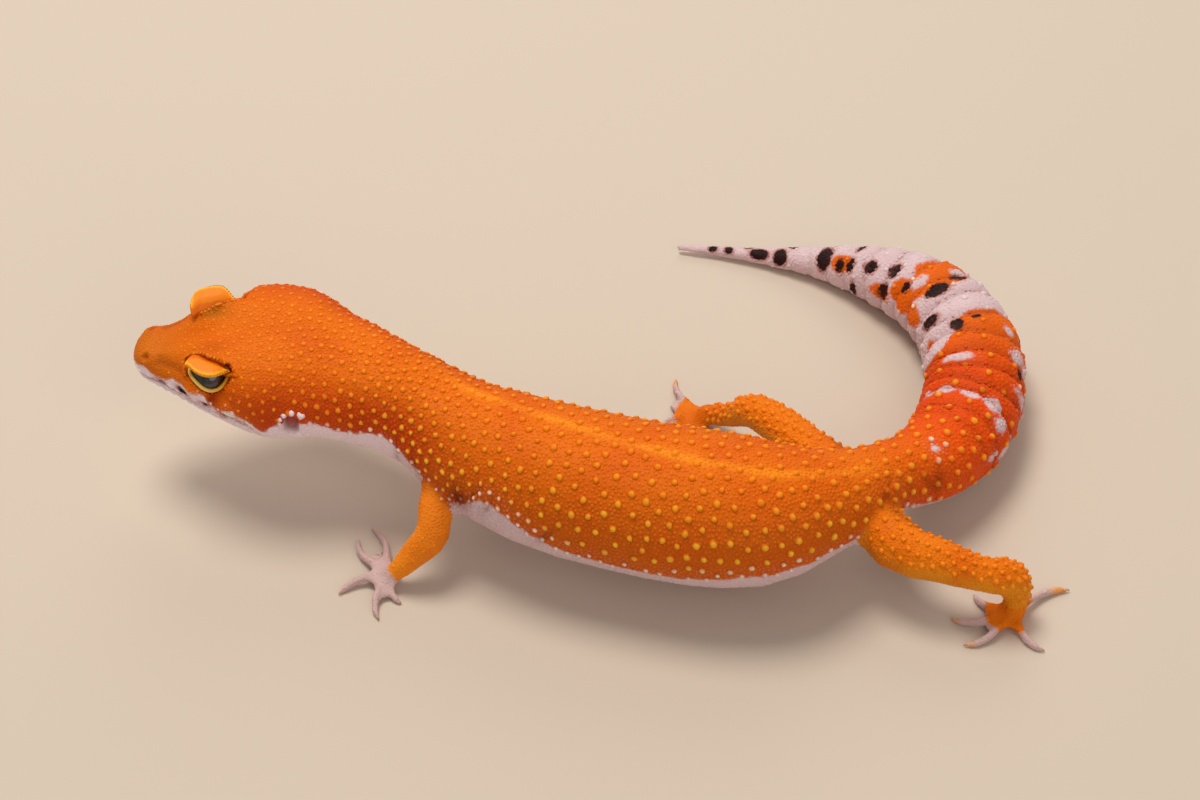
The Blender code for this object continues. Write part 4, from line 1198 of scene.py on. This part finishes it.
def scales(name, points, normals, reach, rise, shape, sides, shine, stretch=1.0, backs=None, marks=None):
    """One joined mesh of domes; reach and rise are each dome's radius and height in millimetres."""
    rng = np.random.default_rng(len(points))
    place = place_on_body(points)
    place["leg_turn"] = leg_turn_of(points, place)
    if backs is None:
        on_leg = (place["leg"] > 0.5)[:, None]
        backs = np.where(on_leg, LEG_AHEAD[place["leg_index"]], place["ahead"])
    backs = unit(backs - normals * (backs * normals).sum(1)[:, None])
    sideways = np.cross(normals, backs)
    count, rings = len(points), len(shape) - 1
    own = rng.random(count)
    size = (0.88 + 0.24 * rng.random(count)) * reach
    angle = np.linspace(0, math.tau, sides, endpoint=False) + rng.random(count)[:, None] * math.tau / sides
    wobble = 1 + 0.09 * rng.standard_normal((count, sides))
    flat_x = np.cos(angle) * wobble * stretch
    flat_y = np.sin(angle) * wobble
    outline = flat_x[..., None] * backs[:, None] + flat_y[..., None] * sideways[:, None]
    parts, tips = [], []
    for share_out, share_up in shape[:-1]:
        part = outline * (size * share_out)[:, None, None]
        leant = backs * (rise * max(share_up, 0) * SCALE_LEAN)[:, None]
        parts.append(part + (normals * (rise * share_up)[:, None] + leant)[:, None] + points[:, None])
        tips.append(np.full((count, sides), max(share_up, 0.0)))
    top = points + normals * rise[:, None] + backs * (rise * SCALE_LEAN)[:, None]
    dome = np.concatenate(parts + [top[:, None]], 1)
    dome[..., 2] = np.maximum(dome[..., 2], 0.0)
    tip = np.concatenate(tips + [np.ones((count, 1))], 1)
    each = sides * rings + 1
    ring = np.arange(sides)
    after = (ring + 1) % sides
    loops = [ring[::-1]]
    sizes = [sides]
    for level in range(rings - 1):
        low, high = level * sides, (level + 1) * sides
        loops.append(np.stack([ring + low, after + low, after + high, ring + high], 1).ravel())
        sizes += [4] * sides
    low = (rings - 1) * sides
    loops.append(np.stack([ring + low, after + low, np.full(sides, each - 1)], 1).ravel())
    sizes += [3] * sides
    loops = np.concatenate(loops)
    all_loops = (loops[None] + np.arange(count)[:, None] * each).ravel().astype(np.int32)
    starts = np.concatenate([[0], np.cumsum(sizes)[:-1]])
    all_starts = (starts[None] + np.arange(count)[:, None] * len(loops)).ravel().astype(np.int32)
    data = bpy.data.meshes.new(name)
    data.vertices.add(count * each)
    data.vertices.foreach_set("co", (dome * MM).astype(np.float32).ravel())
    data.loops.add(len(all_loops))
    data.loops.foreach_set("vertex_index", all_loops)
    data.polygons.add(len(all_starts))
    data.polygons.foreach_set("loop_start", all_starts)
    data.update(calc_edges=True)
    data.shade_smooth()
    flat_places = np.zeros((count, each, 2))
    for axis, flat in enumerate((flat_x, flat_y)):
        flat_places[:, :-1, axis] = np.concatenate([flat * share_out for share_out, _ in shape[:-1]], 1)
    flat_places = np.clip(flat_places, -1.3, 1.3) / 1.3 * BAKE_PATCH + bake_places(place)[:, None]
    layer = data.uv_layers.new(name="OFBake")
    layer.data.foreach_set("uv", flat_places.reshape(-1, 2)[all_loops].astype(np.float32).ravel())
    carried = {key: np.repeat(value, each) for key, value in markings(points, normals).items()}
    carried["tip"] = tip.ravel()
    carried["own"] = np.repeat(own, each)
    carried["shine"] = np.repeat(shine * np.ones(count), each)
    under = [skin_surface.find_nearest(point)[2] for point in points]
    # Each scale takes the painted crease shade of the skin under it.
    carried["crease_shade"] = np.repeat(skin_marks["crease_shade"][skin_triangles[under]].mean(1), each)
    carried.update({key: np.full(count * each, value) for key, value in (marks or {}).items()})
    put_values(data, carried)
    made = new_piece(name, data)
    data.materials.append(scale_material)
    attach(made, "root")
    return made


def clear_of_openings(points, mouth_gap):
    """False where a scale would stand in an eye, a nostril, an ear or the line of the mouth."""
    place = place_on_body(points)
    folded, from_eye, reach = face_places(points)
    behind, aside, height = folded.T
    on_face = (place["along"] < HEAD_ENDS) & (place["leg"] < 0.5)
    above = height - smooth_line(MOUTH_LINE, behind)
    blocked = (reach < 3.22) & (from_eye[:, 1] > -0.4)
    blocked |= (np.abs(above) < mouth_gap) & (behind < 20.6) & (aside > 1.0)
    blocked |= np.linalg.norm(folded - NOSTRIL, axis=1) < 0.62
    blocked |= (ear_share_of(behind, height) < 1.1) & (aside > CHEEK)
    under_lid = (behind > LID_FRONT) & (behind < LID_REAR) & (from_eye[:, 2] > 0.9) & (reach < 5.4)
    blocked |= under_lid & (aside > lid_crease(lid_share(behind)) - 0.05)
    return ~(blocked & on_face)


scale_material = hide_material("scales", True, 0.48, 0.035)

# Tubercles. Raised rounded studs stand in loose oblique rows over the back, flanks, legs and tail:
# bright tips on an orange ground, small and low on the head, crowded on the neck and toward the belly,
# sparse on the tail.
STUD_TRIES = 26000
STUD_SHOVES, SHOVE_REACH, SHOVE_STEP = 6, 1.45, 0.28  # studs push one another apart into loose rows
STUD_SPACING = ((8, 1.0), (14, 1.1), (22, 1.22), (30, 1.32), (40, 1.22), (48, 1.3), (58, 1.6), (66, 1.85),
                (110, 1.9), (126, 1.8), (134, 2.1), (142, 2.9), (158, 3.1), (180, 2.6), (219, 1.6))
STUD_REACH = ((8, 0.24), (14, 0.32), (22, 0.42), (30, 0.50), (44, 0.50), (58, 0.56), (70, 0.62), (120, 0.64),
              (140, 0.68), (160, 0.56), (180, 0.46), (200, 0.30), (219, 0.15))
STUD_RISE = ((8, 0.08), (14, 0.12), (22, 0.20), (32, 0.30), (50, 0.40), (70, 0.44), (120, 0.48), (140, 0.48),
             (150, 0.38), (180, 0.26), (200, 0.14), (219, 0.06))


def near_belly(place):
    """How far the studs crowd and shrink toward the belly, most of all behind the arm."""
    round_it = smooth_line(BELLY_EDGE, place["along"]) - np.abs(place["turn"])
    above_edge = round_it * place["radius"] * math.pi
    reach = 3.2 + 4.5 * bell(place["along"], 61, 8)
    return smooth_step(1.0, 0.4, above_edge / reach) * between(place["along"], 47, 54, 112, 122)


def stud_spacing(points, normals):
    place = place_on_body(points)
    spacing = straight_line(STUD_SPACING, place["along"]) * (1 - 0.30 * near_belly(place))
    on_hind = np.interp(place["past_wrist"], (-26, -12, -4), (1.3, 1.15, 0.95))
    on_leg = np.where(place["hind"], on_hind, 1.35)
    return spacing * (1 - place["leg"]) + on_leg * place["leg"]


points, normals = skin_spots(STUD_TRIES, stud_spacing, 11)
place = place_on_body(points)
edge = smooth_line(BELLY_EDGE, place["along"])
hind = place["hind"]
folded, _, _ = face_places(points)
on_body = (np.abs(place["turn"]) < edge - 0.01) & (place["along"] > 8.5) & (place["leg"] < 0.5)
on_body &= (place["along"] >= 26) | (folded[:, 2] - smooth_line(MOUTH_LINE, folded[:, 0]) > 1.0)
facing_up = np.where(hind, np.where(place["past_wrist"] < -9, 0.42, 0.0), 0.1)
on_leg = (place["leg"] >= 0.5) & (normals[:, 2] > facing_up)
on_leg &= (place["past_wrist"] < np.where(hind, -1.5, -1.0)) & (hind | (place["past_wrist"] > -7.5))
wanted = (on_body | on_leg) & clear_of_openings(points, 0.8)
points, normals = points[wanted], normals[wanted]
kept = thinned(points, stud_spacing(points, normals))
points = points[kept]
for _ in range(STUD_SHOVES):
    spacing = stud_spacing(points, None)
    apart = points[:, None] - points[None]
    gap = np.linalg.norm(apart, axis=2) + np.eye(len(points)) * 99
    push_share = np.clip(1 - gap / (spacing[:, None] * SHOVE_REACH), 0, 1)
    shove = (apart / gap[..., None] * push_share[..., None]).sum(1) * SHOVE_STEP
    points = points + shove * spacing[:, None]
    found = [skin_surface.find_nearest(point)[:2] for point in points]
    points = np.array([spot for spot, _ in found])
    normals = np.array([normal for _, normal in found])
place = place_on_body(points)
kept = np.abs(place["turn"]) < smooth_line(BELLY_EDGE, place["along"]) + 0.03
kept = kept & clear_of_openings(points, 0.7) | (place["leg"] > 0.5)
points, normals = points[kept], normals[kept]
place = place_on_body(points)
stud_reach = straight_line(STUD_REACH, place["along"]) * (1 - place["leg"])
stud_reach = stud_reach * (1 - 0.25 * near_belly(place))
stud_reach = stud_reach + place["leg"] * np.where(place["hind"], 0.46, 0.27)
stud_rise = straight_line(STUD_RISE, place["along"]) * (1 - place["leg"])
stud_rise = stud_rise + place["leg"] * np.where(place["hind"], 0.40, 0.16)
STUDS, STUD_KEEP_OFF = points, stud_reach * 0.92
low_on_side = smooth_step(0.05, 0.40, np.abs(place["turn"])) * (1 - place["leg"])
stud_shine = np.interp(place["along"], (8, 24, 36, 120, 140), (0.45, 0.6, 0.75, 0.75, 0.9))
scales("tubercles", points, normals, stud_reach, stud_rise, DOME_STUD, 8, np.maximum(stud_shine, low_on_side))

# Face scales. Flat shields edge both lips, a row of beads crowns each brow, the upper lids end in a
# fine fringe, and white spiky scales guard the front and top of each ear opening.
SHIELD = ((1.0, -0.8), (0.93, 0.5), (0.70, 1.0), (0.0, 1.1))
SPIKE = ((1.0, -0.6), (0.62, 0.45), (0.0, 1.0))
LIP_ROWS = ((0.62, 1.18), (-0.60, 1.30))  # above the mouth, spacing
EAR_SCALES = (
    # behind the snout, up, radius, height
    (24.2, 2.55, 0.46, 0.34), (25.3, 2.95, 0.50, 0.36), (26.7, 2.55, 0.62, 0.44), (23.6, 1.9, 0.36, 0.46),
    (23.5, 1.15, 0.30, 0.52), (23.55, 0.5, 0.28, 0.50), (23.7, -0.2, 0.30, 0.42), (26.8, -0.9, 0.42, 0.26),
    (26.4, -1.75, 0.46, 0.26), (25.5, -2.2, 0.36, 0.22), (27.5, 0.4, 0.34, 0.24),
)
BROW_BEADS, FRINGE_SCALES = 14, 19  # on each side
face_roots = {"labials": [], "brow_beads": [], "lid_fringe": [], "ear_scales": []}


def root_at(piece, point, normal):
    """Keeps the root of one scale of a piece, and the way it faces."""
    face_roots[piece].append((np.array(point), np.array(normal)))


for sign in (1, -1):
    for above, step in LIP_ROWS:
        for place_behind in np.arange(1.5, 18.4, step):
            level = float(smooth_line(MOUTH_LINE, np.array([place_behind]))[0]) + above
            root_at("labials", *from_the_side(place_behind, level, sign))
    for place_behind in np.linspace(8.4, 15.6, BROW_BEADS):
        inward = smooth_line(BROW_GROOVE, np.array([place_behind]))[0] - 0.60
        start_at = Vector(head_point(np.array((place_behind, inward, OUTSIDE_HEAD)), sign))
        root_at("brow_beads", *skin_surface.ray_cast(start_at, Vector(-UP))[:2])
    for place_behind, level, _, _ in EAR_SCALES:
        root_at("ear_scales", *from_the_side(place_behind, level, sign))
    for share_along in np.linspace(0.07, 0.93, FRINGE_SCALES):
        drop = LID_DROP * smooth_step(0.62, 1.0, share_along)
        out_at = lid_rim(np.array([share_along]))[0] - drop - 0.03
        edge_at = np.array((lid_behind(share_along), out_at, LID_RISE - drop + 0.06))
        root_at("lid_fringe", head_point(edge_at + LID_SHIFT[sign], sign), (0, sign * 0.9, 0.43) @ HEAD_FRAME)
ear_radius, ear_rise = np.tile(np.array(EAR_SCALES)[:, 2:], (2, 1)).T
NOT_PALE = -9.0
# The flank value gives these scales the flanks' browner ground, partly painted shade, with yellow tips.
brow_marks = {"pale": NOT_PALE, "white": 0.0, "flank": 0.6}
lid_marks = {"pale": NOT_PALE, "white": 0.0, "flank": 1.0, "red": 0.0, "snout": 0.0}
ear_marks = {"pale": 0.8, "spot": FAR_OUTSIDE}
for name, radius, rise, shape, sides, stretch, shine, marks in (
    ("labials", 0.46, 0.07, SHIELD, 10, 1.22, 0.1, None),
    ("brow_beads", 0.27, 0.15, DOME_STUD, 8, 1.0, 0.55, brow_marks),
    ("lid_fringe", 0.17, 0.16, SPIKE, 6, 1.0, 1.0, lid_marks),
    ("ear_scales", ear_radius, ear_rise, DOME_STUD, 8, 1.0, 1.0, ear_marks),
):
    points, normals = np.array(face_roots[name]).transpose(1, 0, 2)
    same = np.ones(len(points))
    scales(name, points, normals, same * radius, same * rise, shape, sides, shine, stretch,
           np.tile(BACK, (len(points), 1)), marks)
FACE_SCALES = np.array(face_roots["labials"] + face_roots["brow_beads"] + face_roots["ear_scales"])[:, 0]
FACE_KEEP_OFF = np.full(len(FACE_SCALES), 0.34)

# Granules. Fine flat scales fill all the ground between the studs like beads on leather: finest on
# the snout, lids and toes, larger and flatter under the belly and round the tail.
GRAIN_TRIES = 210000
GRAIN_SPACING = ((0, 0.34), (8, 0.36), (20, 0.42), (34, 0.48), (50, 0.54), (120, 0.56), (150, 0.62),
                 (195, 0.54), (219, 0.34))


def grain_spacing(points, normals):
    place = place_on_body(points)
    spacing = straight_line(GRAIN_SPACING, place["along"])
    spacing = spacing * (1 + 0.22 * smooth_step(0.5, 0.66, np.abs(place["turn"])))
    on_leg = np.interp(place["past_wrist"], (-26, -8, 0, 4), (0.46, 0.42, 0.38, 0.35))
    return spacing * (1 - place["leg"]) + on_leg * place["leg"]


points, normals = skin_spots(GRAIN_TRIES, grain_spacing, 23)
wanted = clear_of_openings(points, 0.24)
points, normals = points[wanted], normals[wanted]
spacing = grain_spacing(points, normals)
kept = thinned(points, spacing, np.concatenate([STUDS, FACE_SCALES]),
               np.concatenate([STUD_KEEP_OFF, FACE_KEEP_OFF]))
points, normals, spacing = points[kept], normals[kept], spacing[kept]
place = place_on_body(points)
on_legs = place["leg"] > 0.5
COAT_REGIONS = (("head", 0, 30), ("neck", 30, 58), ("trunk", 58, 92), ("loin", 92, 130),
                ("tail_root", 130, 158), ("tail", 158, 230))
regions = []
for name, low, high in COAT_REGIONS:
    regions.append((name, ~on_legs & (place["along"] >= low) & (place["along"] < high)))
regions += [("front_legs", on_legs & ~place["hind"]), ("hind_legs", on_legs & place["hind"])]
for name, chosen in regions:
    under = smooth_step(0.5, 0.62, np.abs(place["turn"][chosen])) * (1 - place["leg"][chosen])
    toes = place["leg"][chosen] * smooth_step(-1.0, 1.0, place["past_wrist"][chosen])
    tail = smooth_step(140, 160, place["along"][chosen]) * (1 - place["leg"][chosen])
    grain_rise = spacing[chosen] * (0.17 - 0.07 * np.maximum(under, tail) - 0.07 * toes)
    scales("granules_" + name, points[chosen], normals[chosen], spacing[chosen] * 0.60, grain_rise,
           DOME_GRAIN, 6, 0.10)
